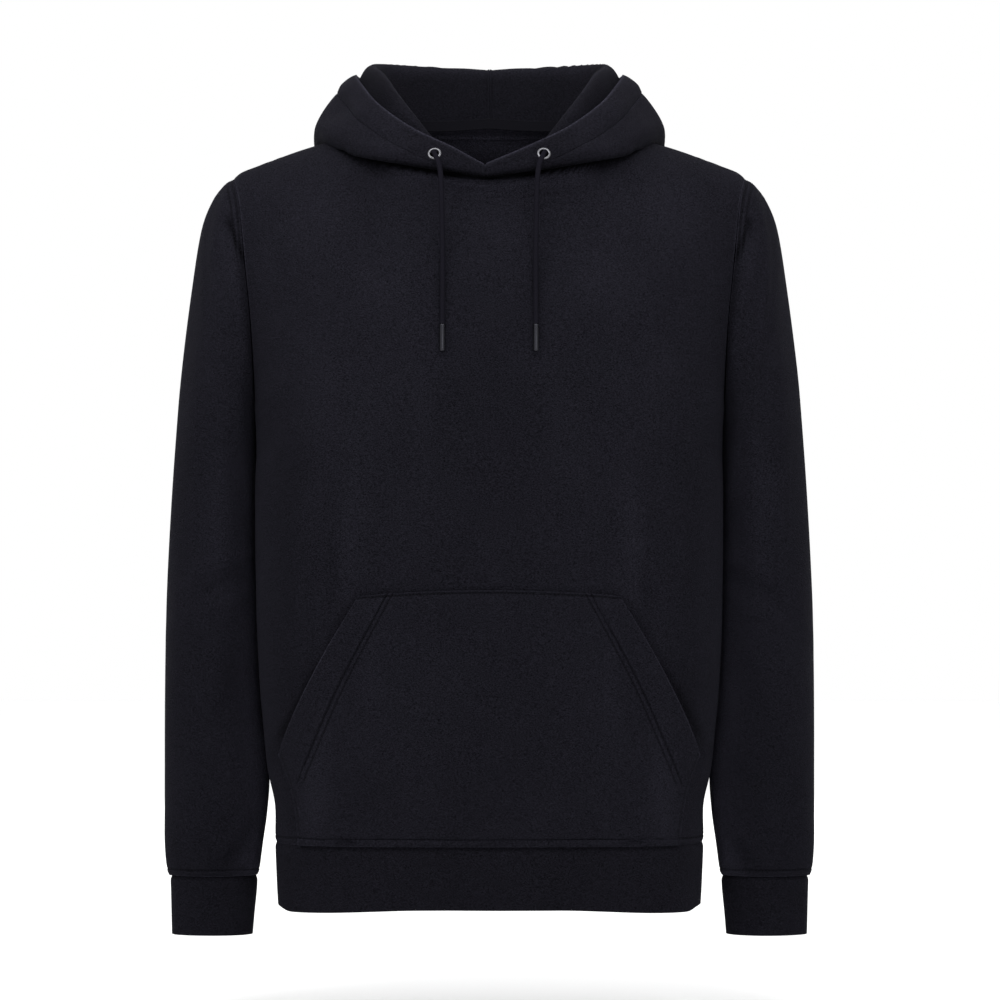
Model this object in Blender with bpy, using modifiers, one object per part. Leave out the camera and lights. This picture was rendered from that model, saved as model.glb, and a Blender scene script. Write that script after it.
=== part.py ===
"""Pullover hoodie in napped fleece, filled out as worn, with its hood folded down.

Every cut piece of cloth is a thin wall of its own. The wearer's neck is at the
origin: +Z is up and the front faces -Y. Tables are in millimetres.
"""
import math

import bmesh
import bpy
from mathutils import Vector

MM = 0.001
SEAM_GAP = 0.3 * MM
WALL = 2.0 * MM            # one layer of fleece
BAND_WALL = 3.2 * MM       # hem band and cuffs, folded double
HOOD_WALL = 2.4 * MM
TAPE_WALL = 1.0 * MM

# Body
HEM_SEAM_Z = -656 * MM
HEM_BOTTOM_Z = -713 * MM
UNDERARM_Z = -262 * MM
SHOULDER_X = 232.5 * MM
SHOULDER_SLOPE = 0.37
SHOULDER_LEVEL_X = 92 * MM     # where the shoulder line passes the origin's height
SHOULDER_EASE_X = 222 * MM     # from here the shoulder rounds down to the armhole
SHOULDER_DROP = 3.5 * MM
HOOD_REST_DEPTH = 2.5 * MM       # the folded hood presses the shoulder down here
HOOD_REST_INNER = (60 * MM, 115 * MM)
HOOD_REST_OUTER = (128 * MM, 182 * MM)
NECK_BLEND_X = 100 * MM        # inside this the shoulder line arches over the neck
NECK_ARCH_POWER = 1.5
NECK_HALF_WIDTH = 106 * MM
FRONT_NECK_DEPTH = 93 * MM     # how far the neckline reaches forward and back
BACK_NECK_DEPTH = 64 * MM
FRONT_NECK_POWER = 2.25        # rounder than an ellipse
BACK_NECK_POWER = 2.0
NECK_COLUMN_SPREAD = 0.62      # share of the hem's width that lies under the neckline
FRONT_ROLL = 180 * MM          # height over which the front rounds off to the shoulder
BACK_ROLL = 140 * MM
SHOULDER_COLUMNS = 8
SHOULDER_SPACING = 1.8         # columns come closer towards the side seam
NECK_COLUMNS = 8
LOWER_ROWS = 7
UPPER_ROWS = 9
SEAM_ROW_CLIMB = 0.975         # a last row close to the seam keeps the wall square to it
SURFACE_STEPS = 40

# z, half width, front depth, back depth, roundness of the section
BODY_SECTIONS = [
    (-713, 191.5, 103, 101, 3.8),
    (-656, 194.0, 106, 103, 3.8),
    (-622, 194.5, 109, 104, 3.6),
    (-590, 201.0, 112, 105, 3.5),
    (-525, 207.5, 115, 106, 3.3),
    (-430, 212.0, 118, 108, 3.2),
    (-350, 212.8, 119, 110, 3.1),
    (-262, 212.5, 120, 114, 3.0),
    (-225, 217.5, 120, 115, 2.9),
    (-185, 226.0, 119, 116, 2.8),
    (-140, 236.0, 118, 115, 2.7),
    (-100, 247.0, 116, 114, 2.6),
    (-60, 262.0, 114, 113, 2.6),
    (0, 275.0, 112, 112, 2.6),
]

# z, x of the armhole seam
ARMHOLE = [
    (-262, 212.5),
    (-225, 212.8),
    (-185, 214.8),
    (-140, 219.3),
    (-97, 223.8),
    (-74, 227.0),
    (-55.5, 232.5),
]

# Sleeve rings from the armhole to the cuff seam:
# outer x, outer z, inner x, inner z, y of the middle, half depth
SLEEVE_SECTIONS = [
    (232.9, -55.5, 213.0, -262, 0, 57),
    (242.2, -61.5, 214.0, -267, 3, 63),
    (252.4, -75.5, 214.3, -274, 7, 67),
    (262.6, -102, 214.3, -285, 11, 69),
    (271.5, -155, 214.1, -305, 16, 69),
    (280.2, -222, 213.7, -335, 20, 67),
    (287.0, -300, 213.5, -372, 24, 64),
    (292.2, -375, 213.3, -411, 27, 60),
    (295.7, -440, 212.3, -450, 29, 56),
    (297.6, -500, 210.4, -500, 30, 52),
    (298.3, -550, 206.9, -550, 30, 49),
    (298.2, -595, 201.5, -595, 28, 45),
    (297.9, -630, 203.0, -630, 26, 41),
    (297.1, -662, 207.3, -662, 24, 37),
    (294.4, -690, 210.8, -690, 22, 32),
]
SLEEVE_COLUMNS = 20
ARMHOLE_GAP = 0.8 * MM
ARMHOLE_FADE_RINGS = 5

# Cuff rings: z, outer x, inner x, half depth
CUFF_SECTIONS = [
    (-690.6, 291.8, 211.8, 30),
    (-704, 291.3, 212.6, 27),
    (-724, 290.8, 214.6, 26),
    (-744, 290.3, 216.3, 26),
]
CUFF_Y = 22 * MM

# Kangaroo pocket: half widths and heights of its six corners, and how far it stands off
POCKET_TOP = (115.7 * MM, -430 * MM)
POCKET_SIDE = (185.5 * MM, -575 * MM)
POCKET_FOOT = (169.5 * MM, -655.2 * MM)
POCKET_LIFT = 0.5 * MM
POCKET_OPENING_LIFT = 2.5 * MM

# Hood, from the front of the neck (station 0) past the shoulder (0.5) to the back (1):
# station, x, y, z
HOOD_CREST = [
    (0.000, 0, -103, -57),
    (0.125, 38, -96, -39),
    (0.250, 68.7, -74, -2),
    (0.375, 85, -44, 21),
    (0.500, 95, -8, 38.5),
    (0.625, 106, 38, 50),
    (0.750, 101, 73, 54.5),
    (0.875, 62, 93, 54),
    (1.000, 0, 105, 51.5),
]
HOOD_BOTTOM = [
    (0.000, 0, -113.5, -60.2),
    (0.125, 42, -111, -56.5),
    (0.250, 86, -97, -48.5),
    (0.375, 121, -66, -38.5),
    (0.500, 146, -22, -27),
    (0.625, 154, 28, -24),
    (0.750, 146, 95, -80),
    (0.875, 94, 126, -165),
    (1.000, 0, 134, -200),
]
HOOD_OUTER = [
    (0.000, 0, -116, -57),
    (0.125, 40, -114.5, -51.5),
    (0.250, 84, -101, -40),
    (0.375, 121, -71, -27),
    (0.500, 147, -26, -13.5),
    (0.625, 158.5, 25, -13),
    (0.750, 152, 112, -56),
    (0.875, 98, 157, -118),
    (1.000, 0, 170, -130),
]
HOOD_UPPER = [
    (0.000, 0, -115, -54),
    (0.125, 36.5, -112, -44.5),
    (0.250, 76, -99, -32),
    (0.375, 110, -66, -10),
    (0.500, 130, -24, 6.5),
    (0.625, 141.5, 25, 19.5),
    (0.750, 136, 88, 10),
    (0.875, 92, 142, -2),
    (1.000, 0, 160, -8),
]
HOOD_EDGE = [
    (0.000, 0, -112, -51.2),
    (0.125, 32.4, -106, -34.8),
    (0.250, 68.2, -91, -16.6),
    (0.375, 98, -61, 6),
    (0.500, 116, -24, 25.5),
    (0.625, 126.5, 25, 38.5),
    (0.750, 118, 75, 38),
    (0.875, 76, 118, 31),
    (1.000, 0, 137, 26),
]
HOOD_STAND_RISE = (1.5 * MM, 6 * MM)     # straight part above the neck seam, front and side
HOOD_STAND_FULL_STATION = 0.3
# Rows of faces from the neck seam to the face edge, one number for each stretch
HOOD_ROWS = (1, 3, 1, 1, 2, 3, 2, 4, 3)
CREST_RADIUS = 6 * MM
CREST_SINK = 0.35
CREST_SHARE = 0.3              # most of the distance to a neighbour that the rounding takes
HOOD_CLEARANCE = 3.4 * MM
HOOD_SEAM_STRIP = 3 * MM       # flat strip beside the centre seams

# Eyelets and drawcord
EYELET_STATION = 0.165
STATION_STEP = 0.05            # for the direction of the edge at the eyelet
EYELET_RING_RADIUS = 5.1 * MM
EYELET_WIRE_RADIUS = 1.4 * MM
CORD_RADIUS = 2.35 * MM
CORD_TIP_RADIUS = 2.6 * MM
CORD_TIP_LENGTH = 24 * MM
CORD_TIP_ROUNDING = 0.6 * MM
# The left cord's own points, x, y, z, out of the eyelet and down the chest
CORD_ROUTE = [
    (49.3, -111.4, -39.6),
    (49.1, -115.6, -39.3),
    (47.9, -119.3, -41.6),
    (44.8, -122.9, -49.0),
    (43.4, -123.3, -56.0),
    (42.5, -123.2, -68.0),
    (41.9, -123.0, -90.0),
    (41.3, -122.8, -124.0),
    (41.3, -122.9, -158.0),
    (41.5, -123.0, -191.5),
]
CORD_POINT_STEP = 5 * MM

# Back neck tape
TAPE_FIRST_STATION = 0.70
TAPE_BELOW = 2 * MM
TAPE_ABOVE = 6.5 * MM
TAPE_INSET = 2.6 * MM

FLEECE_COLOUR = (0.0135, 0.0130, 0.0185, 1)
CORD_COLOUR = (0.012, 0.012, 0.016, 1)
METAL_COLOUR = (0.16, 0.16, 0.17, 1)
TIP_COLOUR = (0.08, 0.08, 0.09, 1)


def hermite(table, position, column):
    """Smooth value of a table's column at a position in its first column."""
    rows = sorted(table)
    first, last = rows[0], rows[-1]
    if position <= first[0]:
        return first[column]
    if position >= last[0]:
        return last[column]
    index = max(i for i, row in enumerate(rows) if row[0] <= position)
    a, b = rows[index], rows[index + 1]
    before = rows[max(index - 1, 0)]
    after = rows[min(index + 2, len(rows) - 1)]
    span = b[0] - a[0]
    t = (position - a[0]) / span
    slope_a = (b[column] - before[column]) / (b[0] - before[0]) * span
    slope_b = (after[column] - a[column]) / (after[0] - a[0]) * span
    return (
        (2 * t**3 - 3 * t**2 + 1) * a[column]
        + (t**3 - 2 * t**2 + t) * slope_a
        + (3 * t**2 - 2 * t**3) * b[column]
        + (t**3 - t**2) * slope_b
    )


def material(name, colour, roughness, metallic=0.0):
    mat = bpy.data.materials.new(name)
    mat.use_nodes = True
    shader = mat.node_tree.nodes["Principled BSDF"]
    shader.inputs["Base Color"].default_value = colour
    shader.inputs["Roughness"].default_value = roughness
    shader.inputs["Metallic"].default_value = metallic
    return mat


def new_object(name, mesh, mat, collection):
    obj = bpy.data.objects.new(name, mesh)
    obj.data.materials.append(mat)
    collection.objects.link(obj)
    mesh.shade_smooth()
    return obj


def add_wall(obj, thickness, offset=-1.0):
    """Turns an open surface into cloth; -1 grows the wall to the inside."""
    wall = obj.modifiers.new("wall", "SOLIDIFY")
    wall.thickness = thickness
    wall.offset = offset


def sheet_mesh(name, rows, closed=False):
    """Grid surface through rows of points; closed joins each row's ends."""
    bm = bmesh.new()
    grid = [[bm.verts.new(point) for point in row] for row in rows]
    count = len(rows[0])
    for lower, upper in zip(grid, grid[1:]):
        for i in range(count if closed else count - 1):
            j = (i + 1) % count
            bm.faces.new((lower[i], lower[j], upper[j], upper[i]))
    mesh = bpy.data.meshes.new(name)
    bm.to_mesh(mesh)
    bm.free()
    return mesh


# ---- Body surface -------------------------------------------------------------

def smooth(value, start, end):
    """0 before start and 1 past end, with an eased step between."""
    t = min(max((value - start) / (end - start), 0.0), 1.0)
    return t * t * (3 - 2 * t)


def shoulder_z(x):
    x = abs(x)
    ease = max(x - SHOULDER_EASE_X, 0) / (SHOULDER_X - SHOULDER_EASE_X)
    pressed = smooth(x, *HOOD_REST_INNER) * (1 - smooth(x, *HOOD_REST_OUTER))
    line = -SHOULDER_SLOPE * (max(x, NECK_BLEND_X) - SHOULDER_LEVEL_X)
    arch = 1 - min(x / NECK_BLEND_X, 1) ** NECK_ARCH_POWER
    line += SHOULDER_SLOPE * NECK_BLEND_X / NECK_ARCH_POWER * arch
    return line - SHOULDER_DROP * ease**2 - HOOD_REST_DEPTH * pressed


def section(z, column):
    return hermite(BODY_SECTIONS, z / MM, column)


def body_depth(x, z, back):
    """Distance of the body's surface from the plane y = 0, at x and z."""
    power = section(z, 4)
    share = min(abs(x) / (section(z, 1) * MM), 1.0)
    depth = section(z, 3 if back else 2) * MM * (1 - share**power) ** (1 / power)
    roll = BACK_ROLL if back else FRONT_ROLL
    below = min(max((shoulder_z(x) - z) / roll, 0.0), 1.0)
    return depth * math.sqrt(1 - (1 - below) ** 2)


def armhole_x(z):
    return hermite(ARMHOLE, z / MM, 1) * MM


def neckline(turn, back):
    """Neck seam of one half, from the shoulder (turn 0) to the centre (turn 1)."""
    angle = turn * math.pi / 2
    depth, power = FRONT_NECK_DEPTH, FRONT_NECK_POWER
    if back:
        depth, power = BACK_NECK_DEPTH, BACK_NECK_POWER
    x = NECK_HALF_WIDTH * max(math.cos(angle), 0) ** (2 / power)
    y = depth * math.sin(angle) ** (2 / power)
    return Vector((x, y if back else -y, surface_z(x, y, back)))


def surface_z(x, y, back):
    """Height of the shoulder and chest surface over a point of the plan."""
    low, high = UNDERARM_Z, shoulder_z(x)
    for _ in range(SURFACE_STEPS):
        middle = (low + high) / 2
        if body_depth(x, middle, back) > y:
            low = middle
        else:
            high = middle
    return (low + high) / 2


def panel_columns(back):
    """One half of a panel's top line, with the share of its width under each point."""
    neck_share = NECK_HALF_WIDTH / SHOULDER_X
    columns = []
    for k in range(SHOULDER_COLUMNS):
        out = 1 - (k / SHOULDER_COLUMNS) ** SHOULDER_SPACING
        x = SHOULDER_X * (neck_share + (1 - neck_share) * out)
        share = NECK_COLUMN_SPREAD + (1 - NECK_COLUMN_SPREAD) * out
        columns.append((share, Vector((x, 0, shoulder_z(x)))))
    for k in range(NECK_COLUMNS + 1):
        turn = k / NECK_COLUMNS
        columns.append((NECK_COLUMN_SPREAD * (1 - turn), neckline(turn, back)))
    return columns


def body_panel_rows(back):
    """Rows of points from the hem seam to the shoulder and neck seams."""
    half = panel_columns(back)
    sign = 1 if back else -1
    columns = [(share, top, 1) for share, top in half]
    columns += [(share, top, -1) for share, top in reversed(half[:-1])]
    rows = []
    for r in range(LOWER_ROWS):
        z = HEM_SEAM_Z + (UNDERARM_Z - HEM_SEAM_Z) * r / LOWER_ROWS
        width = section(z, 1) * MM
        rows.append([(share * width, z, side) for share, top, side in columns])
    under_width = section(UNDERARM_Z, 1) * MM
    climbs = [r / UPPER_ROWS for r in range(UPPER_ROWS)]
    for climb in climbs + [SEAM_ROW_CLIMB, 1]:
        row = []
        for share, top, side in columns:
            rise = math.sin(math.pi / 2 * climb)
            rise += (climb - rise) * max(1 - share / NECK_COLUMN_SPREAD, 0)
            z = UNDERARM_Z + (top.z - UNDERARM_Z) * rise
            x = share * under_width + (top.x - share * under_width) * climb
            edge_z = UNDERARM_Z + (shoulder_z(SHOULDER_X) - UNDERARM_Z) * rise
            straight = under_width + (SHOULDER_X - under_width) * climb
            x += (armhole_x(edge_z) - straight) * share**4
            row.append((x, z, side))
        rows.append(row)
    surface = []
    for row in rows:
        points = []
        for x, z, side in row:
            y = body_depth(x, z, back) + SEAM_GAP
            points.append(Vector((x * side, sign * y, z)))
        surface.append(points)
    if not back:
        surface = [list(reversed(row)) for row in surface]
    return surface


def armhole_loop():
    """Seam round the left armhole: front half first, from the top down."""
    top, bottom = shoulder_z(SHOULDER_X), UNDERARM_Z
    points = []
    for i in range(SLEEVE_COLUMNS):
        angle = 2 * math.pi * i / SLEEVE_COLUMNS
        z = (top + bottom) / 2 + (top - bottom) / 2 * math.cos(angle)
        x = armhole_x(z)
        back = math.sin(angle) < 0
        depth = body_depth(x, z, back)
        points.append(Vector((x, depth if back else -depth, z)))
    return points


# ---- Pieces ---------------------------------------------------------------------

def make_body(mat, collection):
    for name, back in (("body_front", False), ("body_back", True)):
        mesh = sheet_mesh(name, body_panel_rows(back))
        add_wall(new_object(name, mesh, mat, collection), WALL)


def make_hem_band(mat, collection):
    rows = []
    for z in (HEM_BOTTOM_Z, (HEM_BOTTOM_Z + HEM_SEAM_Z) / 2, HEM_SEAM_Z - SEAM_GAP):
        shares = [share for share, top in panel_columns(False)]
        width = section(z, 1) * MM
        front = [Vector((s * width, -body_depth(s * width, z, False), z)) for s in shares]
        back = [Vector((s * width, body_depth(s * width, z, True), z)) for s in shares]
        mirror = Vector((-1, 1, 1))
        row = list(reversed(back)) + front[1:]
        row += [p * mirror for p in reversed(front[:-1])]
        row += [p * mirror for p in back[1:-1]]
        rows.append(list(reversed(row)))
    mesh = sheet_mesh("hem_band", rows, closed=True)
    add_wall(new_object("hem_band", mesh, mat, collection), BAND_WALL)


def oval(row):
    """Oval ring of the left sleeve for one row of its table."""
    outer = Vector((row[0], row[4], row[1])) * MM
    inner = Vector((row[2], row[4], row[3])) * MM
    ring = []
    for i in range(SLEEVE_COLUMNS):
        angle = 2 * math.pi * i / SLEEVE_COLUMNS
        point = (outer + inner) / 2 + (outer - inner) / 2 * math.cos(angle)
        point.y -= row[5] * MM * math.sin(angle)
        ring.append(point)
    return ring


def sleeve_rings():
    """Rings of the left sleeve: the first follows the armhole, which fades out below."""
    aside = Vector((ARMHOLE_GAP, 0, 0))
    shifts = [p + aside - q for p, q in zip(armhole_loop(), oval(SLEEVE_SECTIONS[0]))]
    rings = []
    for k, row in enumerate(SLEEVE_SECTIONS):
        fade = max(1 - k / ARMHOLE_FADE_RINGS, 0) ** 2
        rings.append([point + shift * fade for point, shift in zip(oval(row), shifts)])
    return rings


def mirrored(rows):
    return [[Vector((-p.x, p.y, p.z)) for p in reversed(row)] for row in rows]


def make_sleeves(mat, collection):
    rings = sleeve_rings()
    cuffs = []
    for z, outer, inner, depth in reversed(CUFF_SECTIONS):
        ring = []
        for i in range(SLEEVE_COLUMNS):
            angle = 2 * math.pi * i / SLEEVE_COLUMNS
            x = (outer + inner) / 2 + (outer - inner) / 2 * math.cos(angle)
            ring.append(Vector((x * MM, CUFF_Y - depth * MM * math.sin(angle), z * MM)))
        cuffs.append(ring)
    sleeve = [list(reversed(ring)) for ring in reversed(rings)]
    cuff = [list(reversed(ring)) for ring in cuffs]
    # The wearer's right is at -X, the left at +X
    for side, sleeve_rows, cuff_rows in (
        ("left", sleeve, cuff),
        ("right", mirrored(sleeve), mirrored(cuff)),
    ):
        name = "sleeve_" + side
        mesh = sheet_mesh(name, sleeve_rows, closed=True)
        add_wall(new_object(name, mesh, mat, collection), WALL)
        name = "cuff_" + side
        mesh = sheet_mesh(name, cuff_rows, closed=True)
        add_wall(new_object(name, mesh, mat, collection), BAND_WALL)


def cut_away(bm, point, outward):
    geometry = bm.verts[:] + bm.edges[:] + bm.faces[:]
    bmesh.ops.bisect_plane(
        bm, geom=geometry, dist=1e-6, plane_co=point, plane_no=outward, clear_outer=True
    )


def make_pocket(mat, collection):
    """The front panel's own surface, trimmed to six sides and moved out."""
    bm = bmesh.new()
    bm.from_mesh(sheet_mesh("pocket_cut", body_panel_rows(False)))
    cut_away(bm, (0, 0, POCKET_TOP[1]), (0, 0, 1))
    for side in (-1, 1):
        for upper, lower in ((POCKET_TOP, POCKET_SIDE), (POCKET_SIDE, POCKET_FOOT)):
            run = Vector((lower[0] - upper[0], 0, lower[1] - upper[1]))
            outward = Vector((-run.z * side, 0, run.x))
            cut_away(bm, (upper[0] * side, 0, upper[1]), outward)
    bm.normal_update()
    slant = Vector((POCKET_SIDE[0] - POCKET_TOP[0], POCKET_SIDE[1] - POCKET_TOP[1])).normalized()
    moves = []
    for vert in bm.verts:
        along = Vector((abs(vert.co.x) - POCKET_TOP[0], vert.co.z - POCKET_TOP[1]))
        from_opening = abs(along.cross(slant))
        on_opening = from_opening < 1e-4 and abs(vert.co.x) > POCKET_TOP[0] + MM
        on_opening = on_opening and vert.co.z > POCKET_SIDE[1] + MM
        lift = POCKET_OPENING_LIFT if on_opening else POCKET_LIFT
        moves.append((vert, vert.normal * lift))
    for vert, move in moves:
        vert.co += move
    mesh = bpy.data.meshes.new("pocket")
    bm.to_mesh(mesh)
    bm.free()
    add_wall(new_object("pocket", mesh, mat, collection), WALL, 1.0)


def hood_ring(table, station):
    return Vector([hermite(table, station, column) * MM for column in (1, 2, 3)])


def hood_neck(station):
    """Neck seam point under a station of the hood."""
    if station <= 0.5:
        point = neckline(1 - station * 2, False)
    else:
        point = neckline(station * 2 - 1, True)
    inward = Vector((-point.x, -point.y, 0)).normalized() * WALL / 2
    return point + inward + Vector((0, 0, 1.5 * SEAM_GAP))


def hood_profile(station):
    """Points of one cross-section, neck seam to face edge."""
    neck = hood_neck(station)
    share = min(station / HOOD_STAND_FULL_STATION, 1)
    rise = HOOD_STAND_RISE[0] + (HOOD_STAND_RISE[1] - HOOD_STAND_RISE[0]) * share
    crest = hood_ring(HOOD_CREST, station)
    bottom = hood_ring(HOOD_BOTTOM, station)
    stand = neck + Vector((0, 0, rise))
    fall = clear_of_body(crest.lerp(bottom, 0.5))
    guides = [neck, stand, *rounded_crest(stand, crest, fall), fall, clear_of_body(bottom)]
    guides += [hood_ring(t, station) for t in (HOOD_OUTER, HOOD_UPPER, HOOD_EDGE)]
    ends = [guides[0] * 2 - guides[1]] + guides + [guides[-1] * 2 - guides[-2]]
    points = []
    for k, count in enumerate(HOOD_ROWS):
        for step in range(count):
            points.append(through(ends[k:k + 4], step / count))
    points.append(guides[-1])
    crest_row = sum(HOOD_ROWS[:3])
    return points[:crest_row] + [clear_of_body(point) for point in points[crest_row:]]


def rounded_crest(stand, crest, fall):
    """The crest and a point on each side of it, so that the fold has a radius."""
    before, after = stand - crest, fall - crest
    radius = min(CREST_RADIUS, before.length * CREST_SHARE, after.length * CREST_SHARE)
    before.normalize()
    after.normalize()
    along = (after - before).normalized() * radius
    sink = (after + before) * radius * CREST_SINK
    return crest - along + sink, crest, crest + along + sink


def clear_of_body(point):
    """Lifts a point of the hood off the body where it would sink into it."""
    back = point.y > 0
    room = HOOD_WALL / 2 + HOOD_CLEARANCE
    depth = body_depth(point.x, point.z - room, back) + room
    if abs(point.y) >= depth or point.z - room >= shoulder_z(point.x):
        return point
    full = body_depth(point.x, shoulder_z(point.x) - FRONT_ROLL, back) + room
    roll = BACK_ROLL if back else FRONT_ROLL
    below = 1 - math.sqrt(max(1 - (point.y / full) ** 2, 0))
    top = shoulder_z(point.x) - roll * below + room
    if top - point.z < depth - abs(point.y):
        return Vector((point.x, point.y, top))
    return Vector((point.x, depth if back else -depth, point.z))


def through(guides, t):
    """Centripetal Catmull-Rom curve between the two middle guides."""
    knots = [0.0]
    for a, b in zip(guides, guides[1:]):
        knots.append(knots[-1] + max(math.sqrt((b - a).length), 1e-6))
    at = knots[1] + (knots[2] - knots[1]) * t
    level = list(guides)
    for span in (1, 2, 3):
        blended = []
        for i in range(4 - span):
            low, high = knots[i], knots[i + span]
            if span == 3:
                low, high = knots[1], knots[2]
            blended.append(level[i].lerp(level[i + 1], (at - low) / (high - low)))
        level = blended
    return level[0]


def hood_stations():
    """Stations that fall on the body panels' own neck columns."""
    front = [k / NECK_COLUMNS * 0.5 for k in range(NECK_COLUMNS + 1)]
    return front + [0.5 + k / NECK_COLUMNS * 0.5 for k in range(1, NECK_COLUMNS + 1)]


def make_hood(mat, collection):
    sections = [hood_profile(station) for station in hood_stations()]
    half_gap = Vector((SEAM_GAP / 2, 0, 0))
    for end, place in ((0, 0), (-1, len(sections))):
        strip = half_gap + Vector((HOOD_SEAM_STRIP, 0, 0))
        centre = sections[end]
        sections[end] = [point + strip for point in centre]
        sections.insert(place if end == 0 else len(sections), [p + half_gap for p in centre])
    rows = [list(row) for row in zip(*sections)]
    for name, half in (("hood_left", rows), ("hood_right", mirrored(rows))):
        mesh = sheet_mesh(name, half)
        add_wall(new_object(name, mesh, mat, collection), HOOD_WALL, 0.0)


def make_neck_tape(mat, collection):
    stations = [s for s in hood_stations() if s >= TAPE_FIRST_STATION]
    half = [hood_neck(station) for station in stations]
    seam = half + [Vector((-p.x, p.y, p.z)) for p in reversed(half[:-1])]
    rows = []
    for height in (-TAPE_BELOW, TAPE_ABOVE):
        row = []
        for point in seam:
            inward = Vector((-point.x, -point.y, 0)).normalized() * TAPE_INSET
            row.append(point + inward + Vector((0, 0, height)))
        rows.append(row)
    mesh = sheet_mesh("neck_tape", rows)
    add_wall(new_object("neck_tape", mesh, mat, collection), TAPE_WALL, 0.0)


def eyelet_seat():
    """Middle of the left eyelet and the direction that it faces."""
    upper = hood_ring(HOOD_UPPER, EYELET_STATION)
    edge = hood_ring(HOOD_EDGE, EYELET_STATION)
    ahead = hood_ring(HOOD_EDGE, EYELET_STATION + STATION_STEP) - edge
    facing = ahead.cross(edge - upper).normalized()
    if facing.y > 0:
        facing = -facing
    return upper, facing


def make_eyelets(mat, collection):
    centre, facing = eyelet_seat()
    seat = centre + facing * (HOOD_WALL / 2 + EYELET_WIRE_RADIUS + 2 * SEAM_GAP)
    for name, side in (("eyelet_left", 1), ("eyelet_right", -1)):
        bpy.ops.mesh.primitive_torus_add(
            major_radius=EYELET_RING_RADIUS,
            minor_radius=EYELET_WIRE_RADIUS,
            major_segments=20,
            minor_segments=6,
        )
        ring = bpy.context.active_object
        ring.name = name
        ring.data.name = name
        ring.data.materials.append(mat)
        ring.data.shade_smooth()
        ring.location = Vector((seat.x * side, seat.y, seat.z))
        turned = Vector((facing.x * side, facing.y, facing.z))
        ring.rotation_euler = turned.to_track_quat("Z", "Y").to_euler()
        for holder in ring.users_collection:
            holder.objects.unlink(ring)
        collection.objects.link(ring)


def cord_points():
    guides = [Vector(point) * MM for point in CORD_ROUTE]
    ends = [guides[0] * 2 - guides[1]] + guides + [guides[-1] * 2 - guides[-2]]
    points = []
    for k in range(len(guides) - 1):
        count = max(round((guides[k + 1] - guides[k]).length / CORD_POINT_STEP), 1)
        for step in range(count):
            points.append(through(ends[k:k + 4], step / count))
    return points + [guides[-1]]


def make_cords(cord_mat, tip_mat, collection):
    route = cord_points()
    for side_name, side in (("left", 1), ("right", -1)):
        curve = bpy.data.curves.new("cord_" + side_name, "CURVE")
        curve.dimensions = "3D"
        curve.bevel_depth = CORD_RADIUS
        curve.bevel_resolution = 2
        curve.use_fill_caps = True
        spline = curve.splines.new("POLY")
        spline.points.add(len(route) - 1)
        for knot, point in zip(spline.points, route):
            knot.co = (point.x * side, point.y, point.z, 1)
        cord = bpy.data.objects.new("cord_" + side_name, curve)
        curve.materials.append(cord_mat)
        collection.objects.link(cord)

        end = route[-1]
        bpy.ops.mesh.primitive_cylinder_add(
            vertices=16, radius=CORD_TIP_RADIUS, depth=CORD_TIP_LENGTH, end_fill_type="NGON"
        )
        tip = bpy.context.active_object
        tip.name = "cord_tip_" + side_name
        tip.data.name = tip.name
        tip.data.materials.append(tip_mat)
        tip.location = (end.x * side, end.y, end.z - SEAM_GAP - CORD_TIP_LENGTH / 2)
        rounding = tip.modifiers.new("rounding", "BEVEL")
        rounding.width = CORD_TIP_ROUNDING
        rounding.segments = 2
        for holder in tip.users_collection:
            holder.objects.unlink(tip)
        collection.objects.link(tip)


for old in list(bpy.data.objects):
    bpy.data.objects.remove(old, do_unlink=True)

garment = bpy.data.collections.new("pullover_hoodie")
bpy.context.scene.collection.children.link(garment)

fleece = material("fleece", FLEECE_COLOUR, 0.95)
cord_knit = material("cord_knit", CORD_COLOUR, 0.85)
dark_metal = material("dark_metal", METAL_COLOUR, 0.3, 1.0)
tip_metal = material("tip_metal", TIP_COLOUR, 0.35, 1.0)

make_body(fleece, garment)
make_hem_band(fleece, garment)
make_sleeves(fleece, garment)
make_pocket(fleece, garment)
make_hood(fleece, garment)
make_neck_tape(fleece, garment)
make_eyelets(dark_metal, garment)
make_cords(cord_knit, tip_metal, garment)
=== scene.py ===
import bisect
import math

import bmesh
import bpy
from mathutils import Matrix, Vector


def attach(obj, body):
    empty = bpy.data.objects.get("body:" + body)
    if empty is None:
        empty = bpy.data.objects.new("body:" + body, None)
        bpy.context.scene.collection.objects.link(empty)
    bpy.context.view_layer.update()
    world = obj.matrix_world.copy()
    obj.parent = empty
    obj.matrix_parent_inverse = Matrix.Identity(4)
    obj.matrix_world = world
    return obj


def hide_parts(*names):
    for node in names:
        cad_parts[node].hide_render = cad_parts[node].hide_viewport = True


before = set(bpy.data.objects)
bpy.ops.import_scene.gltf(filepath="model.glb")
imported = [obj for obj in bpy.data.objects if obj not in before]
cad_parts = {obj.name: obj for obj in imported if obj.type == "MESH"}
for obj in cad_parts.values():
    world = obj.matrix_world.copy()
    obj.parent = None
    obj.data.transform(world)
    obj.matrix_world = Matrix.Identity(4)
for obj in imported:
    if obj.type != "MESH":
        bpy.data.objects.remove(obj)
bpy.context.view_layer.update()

MM = 0.001

# ---- Camera -------------------------------------------------------------------
# A long lens straight in front of the garment, level with its middle. The view is 910 mm
# wide at the shoulder seams.

VIEW_DISTANCE = 4.5
VIEW_AIM = (9.6 * MM, -347.6 * MM)     # x and z of the middle of the view
VIEW_WIDTH = 910 * MM
SENSOR_WIDTH = 36.0

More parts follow.
